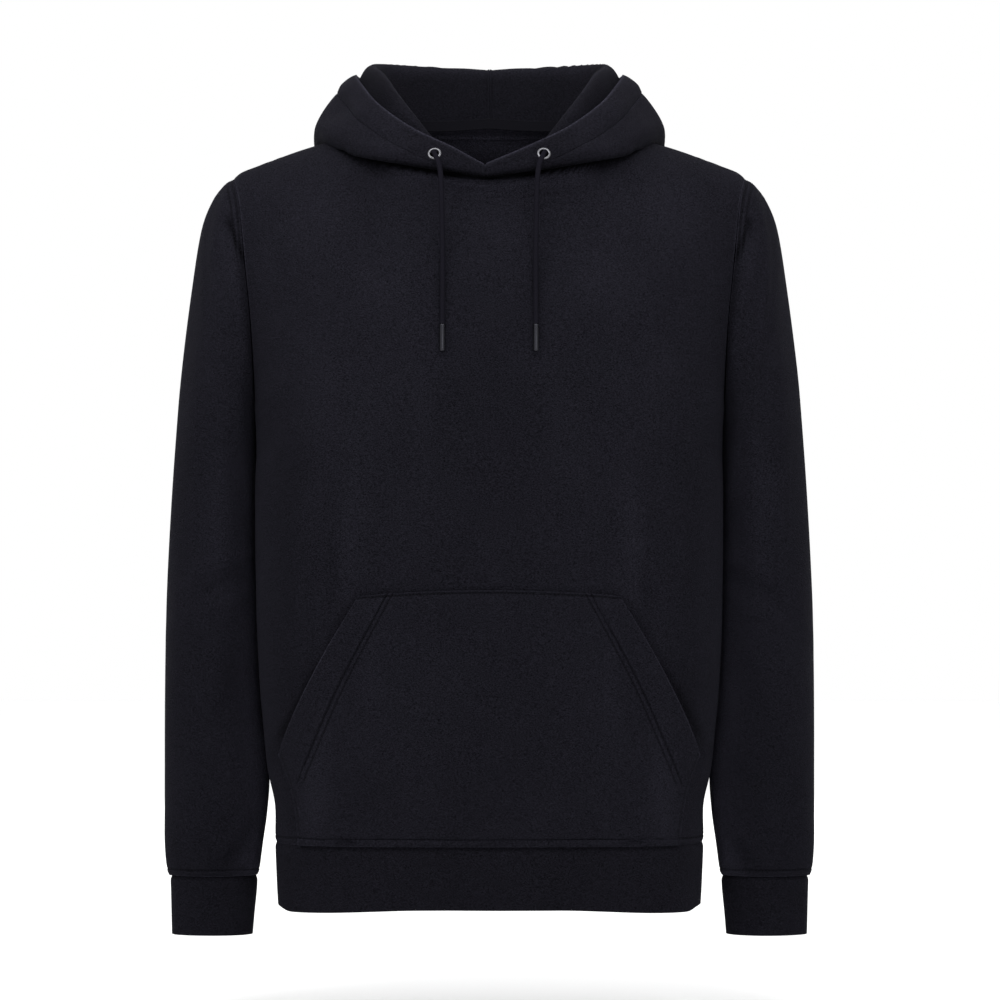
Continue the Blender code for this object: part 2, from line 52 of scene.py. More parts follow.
camera = bpy.data.objects.new("camera", bpy.data.cameras.new("camera"))
camera.data.sensor_width = SENSOR_WIDTH
camera.data.lens = SENSOR_WIDTH * VIEW_DISTANCE / VIEW_WIDTH
camera.location = (VIEW_AIM[0], -VIEW_DISTANCE, VIEW_AIM[1])
camera.rotation_euler = (math.radians(90), 0, 0)
bpy.context.scene.collection.objects.link(camera)
bpy.context.scene.camera = camera


# ---- Drawcord -------------------------------------------------------------------
# Round knitted cord, 4.7 mm thick. Each free end comes out of an eyelet in the hood's
# casing and hangs down the chest into a crimped metal tip.

SIDES = (("left", 1), ("right", -1))
CORD_RADIUS = 2.35 * MM
CORD_NIP = 0.4 * MM            # less where the eyelet nips it
CORD_NIP_REACH = 7 * MM
CORD_STRANDS = 6               # stitch columns round the cord
CORD_STITCH = 2.6 * MM
CORD_SLANT = 0.9               # of a stitch's length, across half a column
CORD_RELIEF = 0.16 * MM
CORD_HOLLOW_POWER = 0.6        # the hollows between the columns are narrow
CORD_STITCH_RELIEF = 0.7       # of the relief between the columns
CORD_SIDES = 36
CORD_RING_STEP = 0.45 * MM
CORD_COLOUR = (0.0056, 0.0053, 0.0076, 1)
# The left cord's own points, x, y, z, out of the eyelet and down the chest
CORD_ROUTE = [
    (49.3, -111.4, -39.6),
    (49.1, -115.6, -39.3),
    (47.9, -119.3, -41.6),
    (44.8, -122.9, -49.0),
    (43.4, -123.3, -56.0),
    (42.5, -123.2, -68.0),
    (41.9, -123.0, -90.0),
    (41.3, -122.8, -124.0),
    (41.3, -122.9, -158.0),
    (41.5, -123.0, -191.5),
]


def through(guides, t):
    """Centripetal Catmull-Rom curve between the two middle guides."""
    knots = [0.0]
    for a, b in zip(guides, guides[1:]):
        knots.append(knots[-1] + max(math.sqrt((b - a).length), 1e-6))
    at = knots[1] + (knots[2] - knots[1]) * t
    level = list(guides)
    for span in (1, 2, 3):
        blended = []
        for i in range(4 - span):
            low, high = knots[i], knots[i + span]
            if span == 3:
                low, high = knots[1], knots[2]
            blended.append(level[i].lerp(level[i + 1], (at - low) / (high - low)))
        level = blended
    return level[0]


def curve(guides, counts):
    """Curve through the guides, with a number of points for each span."""
    ends = [guides[0] * 2 - guides[1]] + guides + [guides[-1] * 2 - guides[-2]]
    points = []
    for k, count in enumerate(counts):
        points += [through(ends[k:k + 4], i / count) for i in range(count)]
    return points + [guides[-1]]


def length_of(line):
    return sum((b - a).length for a, b in zip(line, line[1:]))


def hump(distance, width):
    """1 at no distance, falling off evenly on both sides."""
    return math.exp(-((distance / width) ** 2))


def link(name, mesh, mat):
    """A new object for a mesh, shaded smooth, with its material."""
    obj = bpy.data.objects.new(name, mesh)
    mesh.materials.append(mat)
    mesh.shade_smooth()
    bpy.context.scene.collection.objects.link(obj)
    return obj


def grid_mesh(name, rows, closed=False, caps=False):
    """Surface through rows of points; closed joins each row's ends, caps fill the ends."""
    bm = bmesh.new()
    grid = [[bm.verts.new(point) for point in row] for row in rows]
    count = len(rows[0])
    for lower, upper in zip(grid, grid[1:]):
        for i in range(count if closed else count - 1):
            j = (i + 1) % count
            bm.faces.new((lower[i], lower[j], upper[j], upper[i]))
    if caps:
        bm.faces.new(grid[0][::-1])
        bm.faces.new(grid[-1])
    mesh = bpy.data.meshes.new(name)
    bm.to_mesh(mesh)
    bm.free()
    return mesh


def piece(name, rows, mat, **shape):
    """A new object whose surface goes through rows of points."""
    return link(name, grid_mesh(name, rows, **shape), mat)


def fasten(obj, node):
    """Puts a piece on the garment in place of a plain solid."""
    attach(obj, "root")
    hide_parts(node)


def angles(count):
    """Angles of points spread evenly round a circle."""
    return [2 * math.pi * k / count for k in range(count)]


def tube_rings(points, radius_at, sides):
    """Rings round a path, turned as little as possible from one to the next."""
    rings = []
    across = Vector((1, 0, 0))
    run = 0.0
    for i, point in enumerate(points):
        ahead = (points[min(i + 1, len(points) - 1)] - points[max(i - 1, 0)]).normalized()
        across = (across - ahead * across.dot(ahead)).normalized()
        over = ahead.cross(across)
        if i:
            run += (point - points[i - 1]).length
        ring = []
        for angle in angles(sides):
            spoke = across * math.cos(angle) + over * math.sin(angle)
            ring.append(point + spoke * radius_at(angle, run))
        rings.append(ring)
    return rings


def cord_radius(angle, run):
    """Chevrons of the knit stand up and close in turn along each stitch column."""
    column = abs(math.sin(angle * CORD_STRANDS / 2))
    wale = angle * CORD_STRANDS / (2 * math.pi) % 1.0
    slant = abs(wale - 0.5) * CORD_STITCH * CORD_SLANT
    stitch = 0.5 + 0.5 * math.cos(2 * math.pi * (run + slant) / CORD_STITCH)
    hollow = CORD_RELIEF * (1 - column**CORD_HOLLOW_POWER)
    nip = CORD_NIP * hump(run, CORD_NIP_REACH)
    return CORD_RADIUS - nip - hollow - CORD_RELIEF * stitch * CORD_STITCH_RELIEF


def node_material(name, colour, roughness, **sockets):
    """A Principled BSDF whose other constant sockets are named by keyword."""
    mat = bpy.data.materials.new(name)
    mat.use_nodes = True
    shader = mat.node_tree.nodes["Principled BSDF"]
    shader.inputs["Base Color"].default_value = colour
    shader.inputs["Roughness"].default_value = roughness
    for socket, value in sockets.items():
        shader.inputs[socket.replace("_", " ")].default_value = value
    return mat


def add_node(tree, kind, **inputs):
    """A shader node with some of its inputs set by name."""
    node = tree.nodes.new(kind)
    for socket, value in inputs.items():
        node.inputs[socket].default_value = value
    return node


def new_group(name, inputs, outputs):
    """An empty shader group with named sockets, and its input and output nodes."""
    tree = bpy.data.node_groups.new(name, "ShaderNodeTree")
    for label, kind, default in inputs:
        socket = tree.interface.new_socket(label, in_out="INPUT", socket_type=kind)
        socket.default_value = default
    for label, kind in outputs:
        tree.interface.new_socket(label, in_out="OUTPUT", socket_type=kind)
    return tree, tree.nodes.new("NodeGroupInput"), tree.nodes.new("NodeGroupOutput")


def noise_at(tree, place, stretch, detail):
    """Noise whose grain is 1 / stretch metres along each axis."""
    stretched = tree.nodes.new("ShaderNodeVectorMath")
    stretched.operation = "MULTIPLY"
    tree.links.new(place, stretched.inputs[0])
    stretched.inputs[1].default_value = stretch
    grain = add_node(tree, "ShaderNodeTexNoise", Scale=1.0, Detail=detail, Roughness=0.6)
    tree.links.new(stretched.outputs[0], grain.inputs["Vector"])
    return grain.outputs[0]


def maths(tree, operation, *values):
    """Output of a Math node over numbers and sockets."""
    node = tree.nodes.new("ShaderNodeMath")
    node.operation = operation
    for socket, value in zip(node.inputs, values):
        if isinstance(value, bpy.types.NodeSocket):
            tree.links.new(value, socket)
        else:
            socket.default_value = value
    return node.outputs[0]


def shaded(tree, colour, light):
    """A colour made lighter or darker by a value around 1."""
    scale = tree.nodes.new("ShaderNodeVectorMath")
    scale.operation = "SCALE"
    tree.links.new(colour, scale.inputs[0])
    tree.links.new(light, scale.inputs["Scale"])
    return scale.outputs[0]


FIBRE_GRAIN = (1500, 1500, 2600)     # to the metre, along each axis


def fibre_group():
    """Loose fibres on thread, cord and tape: speckled colour and a fine height."""
    tree, given, made = new_group(
        "loose fibres",
        [("Colour", "NodeSocketColor", (0.02, 0.02, 0.02, 1)), ("Speckle", "NodeSocketFloat", 0.4)],
        [("Colour", "NodeSocketColor"), ("Height", "NodeSocketFloat")],
    )
    place = tree.nodes.new("ShaderNodeTexCoord").outputs["Object"]
    grain = noise_at(tree, place, FIBRE_GRAIN, 3.0)
    centred = maths(tree, "SUBTRACT", grain, 0.5)
    light = maths(tree, "MULTIPLY_ADD", centred, given.outputs["Speckle"], 1.0)
    tree.links.new(shaded(tree, given.outputs["Colour"], light), made.inputs["Colour"])
    tree.links.new(grain, made.inputs["Height"])
    return tree


def grouped_material(name, group, values, relief, roughness, **sockets):
    """A Principled BSDF whose colour and bump come from a group with its own values."""
    mat = node_material(name, values["Colour"], roughness, **sockets)
    tree = mat.node_tree
    surface = tree.nodes.new("ShaderNodeGroup")
    surface.node_tree = group
    for label, value in values.items():
        surface.inputs[label].default_value = value
    bump = add_node(tree, "ShaderNodeBump", Strength=1.0, Distance=relief)
    tree.links.new(surface.outputs["Height"], bump.inputs["Height"])
    shader = tree.nodes["Principled BSDF"]
    tree.links.new(surface.outputs["Colour"], shader.inputs["Base Color"])
    tree.links.new(bump.outputs["Normal"], shader.inputs["Normal"])
    return mat


fibres = fibre_group()
cord_knit = grouped_material(
    "cord knit", fibres, {"Colour": CORD_COLOUR, "Speckle": 0.9},
    relief=0.12 * MM, roughness=0.8, Specular_IOR_Level=0.0,
)

# Each tip is a drawn metal cap, 24 mm long, crimped on the cord just under its mouth.
TIP_GAP = 0.3 * MM
TIP_COLOUR = (0.026, 0.026, 0.031, 1)
# Distance from the mouth and radius, down to the closed end
TIP_PROFILE = [
    (0.25, 2.3),
    (0.0, 2.45),
    (0.15, 2.6),
    (1.3, 2.62),
    (2.0, 2.5),
    (2.6, 2.32),
    (3.2, 2.5),
    (3.9, 2.6),
    (12.0, 2.6),
    (21.5, 2.6),
    (23.0, 2.48),
    (23.75, 2.1),
    (24.0, 1.4),
    (24.0, 0.4),
]
TURNED_SIDES = 40

tip_metal = node_material("tip metal", TIP_COLOUR, roughness=0.32, Metallic=1.0)

route = [Vector(point) * MM for point in CORD_ROUTE]
spans = [(b - a).length for a, b in zip(route, route[1:])]
cord_line = curve(route, [max(round(span / CORD_RING_STEP), 1) for span in spans])
for side_name, side in SIDES:
    mirror = Vector((side, 1, 1))
    path = [point * mirror for point in cord_line]
    rings = tube_rings(path, cord_radius, CORD_SIDES)
    drawcord = piece("drawcord_" + side_name, rings, cord_knit, closed=True, caps=True)
    mouth = path[-1] - Vector((0, 0, TIP_GAP))
    spokes = [Vector((math.cos(turn), math.sin(turn), 0)) for turn in angles(TURNED_SIDES)]
    rows = []
    for down, radius in reversed(TIP_PROFILE):
        middle = mouth - Vector((0, 0, down * MM))
        rows.append([middle + spoke * radius * MM for spoke in spokes])
    tip = piece("drawcord_tip_" + side_name, rows, tip_metal, closed=True, caps=True)
    fasten(drawcord, "cord_" + side_name)
    fasten(tip, "cord_tip_" + side_name)


# ---- Front and back panels --------------------------------------------------------
# Two cuts of napped fleece, 2 mm thick, joined at the shoulders and sides. The tables
# give the filled-out body, and every other piece is set against its surface.

FLEECE_WALL = 2.0 * MM
SEAM_GAP = 0.3 * MM
HEM_SEAM_Z = -656 * MM
HEM_BOTTOM_Z = -713 * MM
UNDERARM_Z = -262 * MM
SHOULDER_X = 232.5 * MM
SHOULDER_SLOPE = 0.37
SHOULDER_LEVEL_X = 92 * MM
SHOULDER_EASE_X = 222 * MM
SHOULDER_DROP = 3.5 * MM
HOOD_REST_DEPTH = 2.5 * MM
HOOD_REST_INNER = (60 * MM, 115 * MM)
HOOD_REST_OUTER = (128 * MM, 182 * MM)
NECK_BLEND_X = 100 * MM
NECK_ARCH_POWER = 1.5
NECK_HALF_WIDTH = 106 * MM
FRONT_NECK_DEPTH = 93 * MM
BACK_NECK_DEPTH = 64 * MM
FRONT_NECK_POWER = 2.25
BACK_NECK_POWER = 2.0
NECK_COLUMN_SPREAD = 0.62
FRONT_ROLL = 180 * MM
BACK_ROLL = 140 * MM
SURFACE_STEPS = 30

# z, half width, front depth, back depth, roundness of the section
BODY_SECTIONS = [
    (-713, 191.5, 103, 101, 3.8),
    (-656, 194.0, 106, 103, 3.8),
    (-622, 194.5, 109, 104, 3.6),
    (-590, 201.0, 112, 105, 3.5),
    (-525, 207.5, 115, 106, 3.3),
    (-430, 212.0, 118, 108, 3.2),
    (-350, 212.8, 119, 110, 3.1),
    (-262, 212.5, 120, 114, 3.0),
    (-225, 217.5, 120, 115, 2.9),
    (-185, 226.0, 119, 116, 2.8),
    (-140, 236.0, 118, 115, 2.7),
    (-100, 247.0, 116, 114, 2.6),
    (-60, 262.0, 114, 113, 2.6),
    (0, 275.0, 112, 112, 2.6),
]

# z, x of the armhole seam
ARMHOLE = [
    (-262, 212.5),
    (-225, 212.8),
    (-185, 214.8),
    (-140, 219.3),
    (-97, 223.8),
    (-74, 227.0),
    (-55.5, 232.5),
]

# Soft ridges (+) and troughs (-) of the hanging cloth, seen from outside with x to the
# wearer's left: x and z of both ends, width, height
FRONT_FOLDS = [
    (-122, -300, -120, -425, 20, 2.2),
    (124, -310, 122, -428, 21, 2.0),
    (-96, -330, -100, -420, 16, -1.3),
    (98, -335, 100, -415, 17, -1.2),
    (-158, -330, -172, -560, 20, 1.6),
    (162, -345, 174, -555, 19, 1.7),
    (-142, -430, -184, -545, 15, -2.2),
    (142, -432, 185, -548, 15, -2.1),
    (-198, -280, -196, -420, 13, -1.3),
    (199, -290, 197, -430, 14, -1.2),
    (-176, -120, -92, -178, 22, 1.6),
    (174, -122, 95, -172, 23, 1.5),
    (-186, -180, -110, -222, 20, -1.5),
    (184, -184, 112, -218, 21, -1.4),
    (-84, -118, -70, -190, 24, 1.3),
    (86, -116, 68, -186, 24, 1.4),
    (-60, -86, 58, -88, 12, -1.0),
    (-28, -190, 10, -300, 30, 0.9),
    (-198, -256, -150, -205, 14, 1.6),
    (198, -256, 152, -207, 14, 1.5),
    (-203, -300, -170, -262, 12, -1.3),
    (203, -302, 168, -260, 12, -1.3),
    (-150, -590, -156, -652, 14, 1.5),
    (152, -585, 157, -652, 14, 1.4),
    (-90, -600, -84, -652, 18, -1.0),
    (84, -604, 90, -652, 17, -1.0),
    (-20, -585, -24, -650, 22, 0.9),
    (-186, -585, -176, -648, 9, -1.6),
    (186, -588, 176, -648, 9, -1.5),
]
# Painted highlights (+) and painted shade (-) on the pile: x, z, half width, half height, amount
FRONT_PAINTED_PATCHES = [
    (-92, -161, 30, 42, 0.15),
    (98, -151, 30, 40, 0.14),
    (-122, -372, 11, 62, 0.19),
    (125, -374, 12, 60, 0.18),
    (-127, -412, 7, 34, 0.16),
    (128, -410, 7, 34, 0.15),
    (-150, -452, 6, 44, 0.10),
    (-168, -440, 5, 50, 0.08),
    (151, -458, 6, 44, 0.10),
    (-150, -235, 20, 60, 0.10),
    (152, -240, 20, 62, 0.10),
    (-180, -400, 15, 90, -0.14),
    (180, -400, 15, 90, -0.12),
    (0, -330, 60, 120, -0.07),
    (-160, -92, 30, 20, 0.12),
    (160, -90, 30, 20, 0.12),
    (-60, -250, 14, 50, 0.09),
    (64, -262, 14, 50, 0.08),
    (-176, -520, 12, 40, -0.12),
    (177, -524, 12, 40, -0.10),
]
# Soft shade beside the pocket's openings: x, z to x, z, half width, amount
FRONT_SHADES = [
    (-124, -446, -193, -573, 7, -0.22),
    (124, -446, 193, -573, 7, -0.22),
    (-156, -502, -186, -556, 4, -0.34),
    (156, -502, 186, -556, 4, -0.34),
]
# Painted light on the inside of the back neck, which is seen through the neckline and lies in shade
BACK_NECK_PAINTED_LIGHT = [(0, -10, 110, 16, 4.2)]
BACK_FOLDS = [
    (-150, -120, -96, -250, 22, 1.7),
    (148, -126, 98, -244, 23, 1.6),
    (-118, -150, -60, -300, 20, -1.5),
    (116, -160, 64, -290, 21, -1.4),
    (-60, -250, -40, -430, 26, 1.8),
    (66, -260, 52, -440, 25, 1.6),
    (2, -270, -6, -470, 24, -1.6),
    (-140, -330, -150, -560, 20, 1.7),
    (138, -345, 152, -570, 19, 1.8),
    (-104, -370, -112, -590, 18, -1.6),
    (100, -360, 108, -600, 18, -1.5),
    (-206, -262, -152, -214, 14, 2.0),
    (206, -262, 150, -210, 14, 2.1),
    (-200, -300, -160, -262, 12, -1.5),
    (201, -296, 164, -258, 12, -1.4),
    (-172, -560, -160, -652, 14, 1.7),
    (170, -566, 164, -652, 14, 1.6),
    (-70, -590, -64, -652, 18, 1.6),
    (60, -584, 70, -652, 18, 1.5),
    (-112, -600, -108, -652, 13, -1.3),
    (4, -590, 2, -652, 20, -1.2),
    (114, -596, 110, -652, 13, -1.2),
]

# Rows and columns are closer at seams and stitch lines
STITCH_INSET = 6 * MM
STITCH_CHANNEL = 0.9 * MM     # half width of the channel that a row of stitches pulls in
STITCH_DEPTH = 0.7 * MM
SEAM_DIP = 1.3 * MM
SEAM_DIP_WIDTH = 2.4 * MM
SIDE_DIP = 0.3 * MM
SHOULDER_DIPS = {False: 0.3 * MM, True: 1.4 * MM}     # front panel and back panel
NECK_RUN = 205 * MM            # way up the chest from the underarm to the neck seam
NECK_STITCH_INSET = 7 * MM
CHANNEL_STEPS = (-1.5, -0.75, 0.0, 0.75, 1.5)     # of a stitch channel's half width
CHANNEL_CLEAR = 1.6            # of it, to the next column beside a channel
EDGE_STEPS = (0.0, 0.7 * MM, 1.5 * MM, 2.6 * MM)
BODY_ROW_STEP = 5.2 * MM
OUTER_COLUMNS = 36
INNER_COLUMNS = 26
ROW_SAMPLES = 90


def hermite(table, position, column):
    """Smooth value of a table's column at a position in its first column."""
    if position <= table[0][0]:
        return table[0][column]
    if position >= table[-1][0]:
        return table[-1][column]
    index = max(i for i, row in enumerate(table) if row[0] <= position)
    a, b = table[index], table[index + 1]
    before = table[max(index - 1, 0)]
    after = table[min(index + 2, len(table) - 1)]
    span = b[0] - a[0]
    t = (position - a[0]) / span
    slope_a = (b[column] - before[column]) / (b[0] - before[0]) * span
    slope_b = (after[column] - a[column]) / (after[0] - a[0]) * span
    return (
        (2 * t**3 - 3 * t**2 + 1) * a[column]
        + (t**3 - 2 * t**2 + t) * slope_a
        + (3 * t**2 - 2 * t**3) * b[column]
        + (t**3 - t**2) * slope_b
    )


def smooth(value, start, end):
    """0 before start and 1 past end, with an eased step between."""
    t = min(max((value - start) / (end - start), 0.0), 1.0)
    return t * t * (3 - 2 * t)


def shoulder_z(x):
    x = abs(x)
    ease = max(x - SHOULDER_EASE_X, 0) / (SHOULDER_X - SHOULDER_EASE_X)
    pressed = smooth(x, *HOOD_REST_INNER) * (1 - smooth(x, *HOOD_REST_OUTER))
    line = -SHOULDER_SLOPE * (max(x, NECK_BLEND_X) - SHOULDER_LEVEL_X)
    arch = 1 - min(x / NECK_BLEND_X, 1) ** NECK_ARCH_POWER
    line += SHOULDER_SLOPE * NECK_BLEND_X / NECK_ARCH_POWER * arch
    return line - SHOULDER_DROP * ease**2 - HOOD_REST_DEPTH * pressed


def section(z, column):
    return hermite(BODY_SECTIONS, z / MM, column)


def body_depth(x, z, back):
    """Distance of the body's surface from the plane y = 0, at x and z."""
    power = section(z, 4)
    share = min(abs(x) / (section(z, 1) * MM), 1.0)
    depth = section(z, 3 if back else 2) * MM * (1 - share**power) ** (1 / power)
    roll = BACK_ROLL if back else FRONT_ROLL
    below = min(max((shoulder_z(x) - z) / roll, 0.0), 1.0)
    return depth * math.sqrt(1 - (1 - below) ** 2)


def armhole_x(z):
    return hermite(ARMHOLE, z / MM, 1) * MM


def surface_z(x, y, back):
    """Height of the shoulder and chest surface over a point of the plan."""
    low, high = UNDERARM_Z, shoulder_z(x)
    for _ in range(SURFACE_STEPS):
        middle = (low + high) / 2
        if body_depth(x, middle, back) > y:
            low = middle
        else:
            high = middle
    return (low + high) / 2


def neckline(turn, back):
    """Neck seam of one half, from the shoulder (turn 0) to the centre (turn 1)."""
    angle = turn * math.pi / 2
    depth, power = FRONT_NECK_DEPTH, FRONT_NECK_POWER
    if back:
        depth, power = BACK_NECK_DEPTH, BACK_NECK_POWER
    x = NECK_HALF_WIDTH * max(math.cos(angle), 0) ** (2 / power)
    y = depth * math.sin(angle) ** (2 / power)
    return Vector((x, y if back else -y, surface_z(x, y, back)))


def panel_top(share, back):
    """Point of the shoulder or neck seam above a share of the panel's half width."""
    if share >= NECK_COLUMN_SPREAD:
        out = (share - NECK_COLUMN_SPREAD) / (1 - NECK_COLUMN_SPREAD)
        x = NECK_HALF_WIDTH + (SHOULDER_X - NECK_HALF_WIDTH) * out
        return Vector((x, 0, shoulder_z(x)))
    return neckline(1 - share / NECK_COLUMN_SPREAD, back)


def panel_point(share, climb, z, top, back):
    """Point of the left half of a panel: at height z below the underarm, else by climb."""
    if climb is None:
        x = share * section(z, 1) * MM
    else:
        under_width = section(UNDERARM_Z, 1) * MM
        rise = math.sin(math.pi / 2 * climb)
        rise += (climb - rise) * max(1 - share / NECK_COLUMN_SPREAD, 0)
        z = UNDERARM_Z + (top.z - UNDERARM_Z) * rise
        x = share * under_width + (top.x - share * under_width) * climb
        edge_z = UNDERARM_Z + (shoulder_z(SHOULDER_X) - UNDERARM_Z) * rise
        straight = under_width + (SHOULDER_X - under_width) * climb
        x += (armhole_x(edge_z) - straight) * share**4
    y = body_depth(x, z, back) + SEAM_GAP
    return Vector((x, y if back else -y, z))


def spots_along(line, distances):
    """Where rising distances fall on a polyline: the point before, and the share past it."""
    found = []
    k = 0
    run = 0.0
    for distance in distances:
        step = (line[k + 1] - line[k]).length
        while run + step < distance and k < len(line) - 2:
            run += step
            k += 1
            step = (line[k + 1] - line[k]).length
        found.append((k, min((distance - run) / max(step, 1e-9), 1.0)))
    return found


def at_distances(line, distances):
    return [line[k].lerp(line[k + 1], share) for k, share in spots_along(line, distances)]


def spread(start, end, count):
    """Even steps from start, left out, to end."""
    return [start + (end - start) * (k + 1) / count for k in range(count)]


def with_channels(lines, end, count):
    """Rising places from an edge to end, closer at the edge and over each stitch line."""
    fine = list(EDGE_STEPS)
    for line in lines:
        fine += [line + step * STITCH_CHANNEL for step in CHANNEL_STEPS]
    return sorted(set(fine)) + spread(max(fine), end, count)


def half_row(climb, z, tops, back):
    """One row of a half panel from its side edge to the centre, and distances from the edge."""
    outer = [s for s in ROW_SHARES if s >= NECK_COLUMN_SPREAD]
    inner = [s for s in ROW_SHARES if s <= NECK_COLUMN_SPREAD]
    outer_line = [panel_point(s, climb, z, tops[s], back) for s in outer]
    inner_line = [panel_point(s, climb, z, tops[s], back) for s in inner]
    reach = length_of(outer_line)
    places = with_channels([], reach, OUTER_COLUMNS)
    points = at_distances(outer_line, places)
    steps = spread(0.0, length_of(inner_line), INNER_COLUMNS)
    points += at_distances(inner_line, steps)
    return points, places + [reach + step for step in steps]


# Shares of the half width from the edge in, closer at the edge, where the panel turns away
ROW_SHARES = [1 - (k / ROW_SAMPLES) ** 3 for k in range(ROW_SAMPLES)]
ROW_SHARES = sorted(set(ROW_SHARES + [NECK_COLUMN_SPREAD, 0.0]), reverse=True)

# How far a fold bows, its width where it starts, how that grows, and how its ends die
# away, all as shares of the width given for it
PANEL_FOLDING = (0.35, 0.8, 0.4, 1.6)


def on_fold(run_x, run_z, off_x, off_z, width, folding):
    """Share of a fold's height at an offset from its start, for a fold with this run."""
    bow, narrow, growth, ends = folding
    length = math.hypot(run_x, run_z)
    along = (off_x * run_x + off_z * run_z) / length
    aside = (off_x * run_z - off_z * run_x) / length
    share = min(max(along / length, 0.0), 1.0)
    aside += width * bow * math.sin(math.pi * share)
    wide = width * (narrow + growth * share)
    past = max(-along, along - length, 0.0)
    return math.exp(-((aside / wide) ** 2) - (past / (ends * width)) ** 2)


def fold_height(folds, x, z):
    """Sum of the soft folds at a place, in metres. Each one dies away at its ends."""
    total = 0.0
    for x0, z0, x1, z1, width, height in folds:
        total += height * on_fold(x1 - x0, z1 - z0, x - x0, z - z0, width, PANEL_FOLDING)
    return total * MM


EDGE_GLOW = 0.7                # painted highlight along a folded edge
EDGE_GLOW_REACH = (0.2 * MM, 1.6 * MM)        # in from the edge
GROOVE_SHADE = 0.5             # shade for each millimetre that stitches pull in
NECK_SHADE = -0.88             # painted shadow under the hood's front
NECK_SHADE_REACH = (0.5 * MM, 4.0 * MM)       # down from where the hood hangs to
NECK_SHADE_ENDS = (128 * MM, 150 * MM)        # it fades out towards the shoulders
NECK_PAINTED_LIGHT = 2.6                # painted light below it, which lifts the hood's real shadow there
NECK_PAINTED_LIGHT_REACH = (4.5 * MM, 7 * MM)          # its middle and its width
NECK_PAINTED_LIGHT_ENDS = (74 * MM, 104 * MM)
PANEL_FADE = (1 * MM, 16 * MM)                # folds die out towards the edges
BACK_NECK_FADE = 0.35                         # and over a longer way at the back neck
# Where the folded hood hangs to: distance from the centre, height
HOOD_HANGS_TO = [
    (0, -60.3),
    (22.5, -58.5),
    (38.7, -56.9),
    (55.6, -54.3),
    (73.0, -51.1),
    (89.0, -47.7),
    (103.0, -44.0),
    (115.8, -39.9),
    (128.3, -34.4),
    (140.0, -28.0),
]
PANEL_GLOW_REACH = 3.2 * MM
TURNED_ROWS = 4                # rows at the shoulder seam that face as the one before


def painted_shading_by(spots, x, z):
    """Sum of painted light (+) and painted shade (-) areas."""
    total = 0.0
    for x0, z0, width, height, amount in spots:
        total += amount * math.exp(-(((x - x0) / width) ** 2) - ((z - z0) / height) ** 2)
    return total


def set_painted_shading(obj, rows):
    """Keeps a painted light or shade value for each point of a grid, that lightens or darkens the
    fleece there.
    """
    kept = obj.data.attributes.new("painted_shading", "FLOAT", "POINT")
    kept.data.foreach_set("value", [value for row in rows for value in row])


def painted_seam_shading(edge, dark, light=EDGE_GLOW, reach=EDGE_GLOW_REACH[1]):
    """Painted highlight along a folded edge and painted shade in stitch channels."""
    return light * (1 - smooth(edge, EDGE_GLOW_REACH[0], reach)) + GROOVE_SHADE * dark / MM


def channel(distance, line, depth=STITCH_DEPTH):
    """Depth of the channel that a row of stitches pulls into the cloth."""
    return -depth * hump(distance - line, STITCH_CHANNEL)


def seam_dip(distance, depth=SEAM_DIP, width=SEAM_DIP_WIDTH):
    """Cloth turns in towards a seam."""
    return -depth * hump(max(distance, 0.0), width)


def turned_over(grid):
    """The same grid with its columns in the other order."""
    return [row[::-1] for row in grid]


def surface_normals(rows, closed=False):
    """Outward normals of a grid whose columns run anticlockwise and whose rows run up."""
    count = len(rows[0])
    normals = []
    for i, row in enumerate(rows):
        lower, upper = rows[max(i - 1, 0)], rows[min(i + 1, len(rows) - 1)]
        found = []
        for j in range(count):
            if closed:
                before, after = row[j - 1], row[(j + 1) % count]
            else:
                before, after = row[max(j - 1, 0)], row[min(j + 1, count - 1)]
            found.append((after - before).cross(upper[j] - lower[j]).normalized())
        normals.append(found)
    return normals


def lifted(rows, normals, heights):
    """The grid's points moved out along their normals."""
    return [
        [point + normal * height for point, normal, height in zip(*three)]
        for three in zip(rows, normals, heights)
    ]


RIM_SEGMENTS = 3
RIM_ANGLE = math.radians(62)   # edges sharper than this are rounded


def add_wall(obj, thickness, rim, offset=-1.0):
    """Gives a surface the cloth's thickness and rounds its cut or folded edges."""
    wall = obj.modifiers.new("wall", "SOLIDIFY")
    wall.thickness = thickness
    wall.offset = offset
    edge = obj.modifiers.new("rounded edge", "BEVEL")
    edge.width = rim
    edge.segments = RIM_SEGMENTS
    edge.limit_method = "ANGLE"
    edge.angle_limit = RIM_ANGLE


# Grain to the metre along each axis
KNIT_GRAIN = (620, 620, 900)
PILE_GRAIN = (1500, 1500, 1500)
PATCH_GRAIN = (15, 15, 9)
LIGHT_LIMITS = (0.35, 1.6)     # of the painted highlight on folds and edges and the painted shade in seams
PILE_RELIEF = 0.55             # of the knit rows' relief


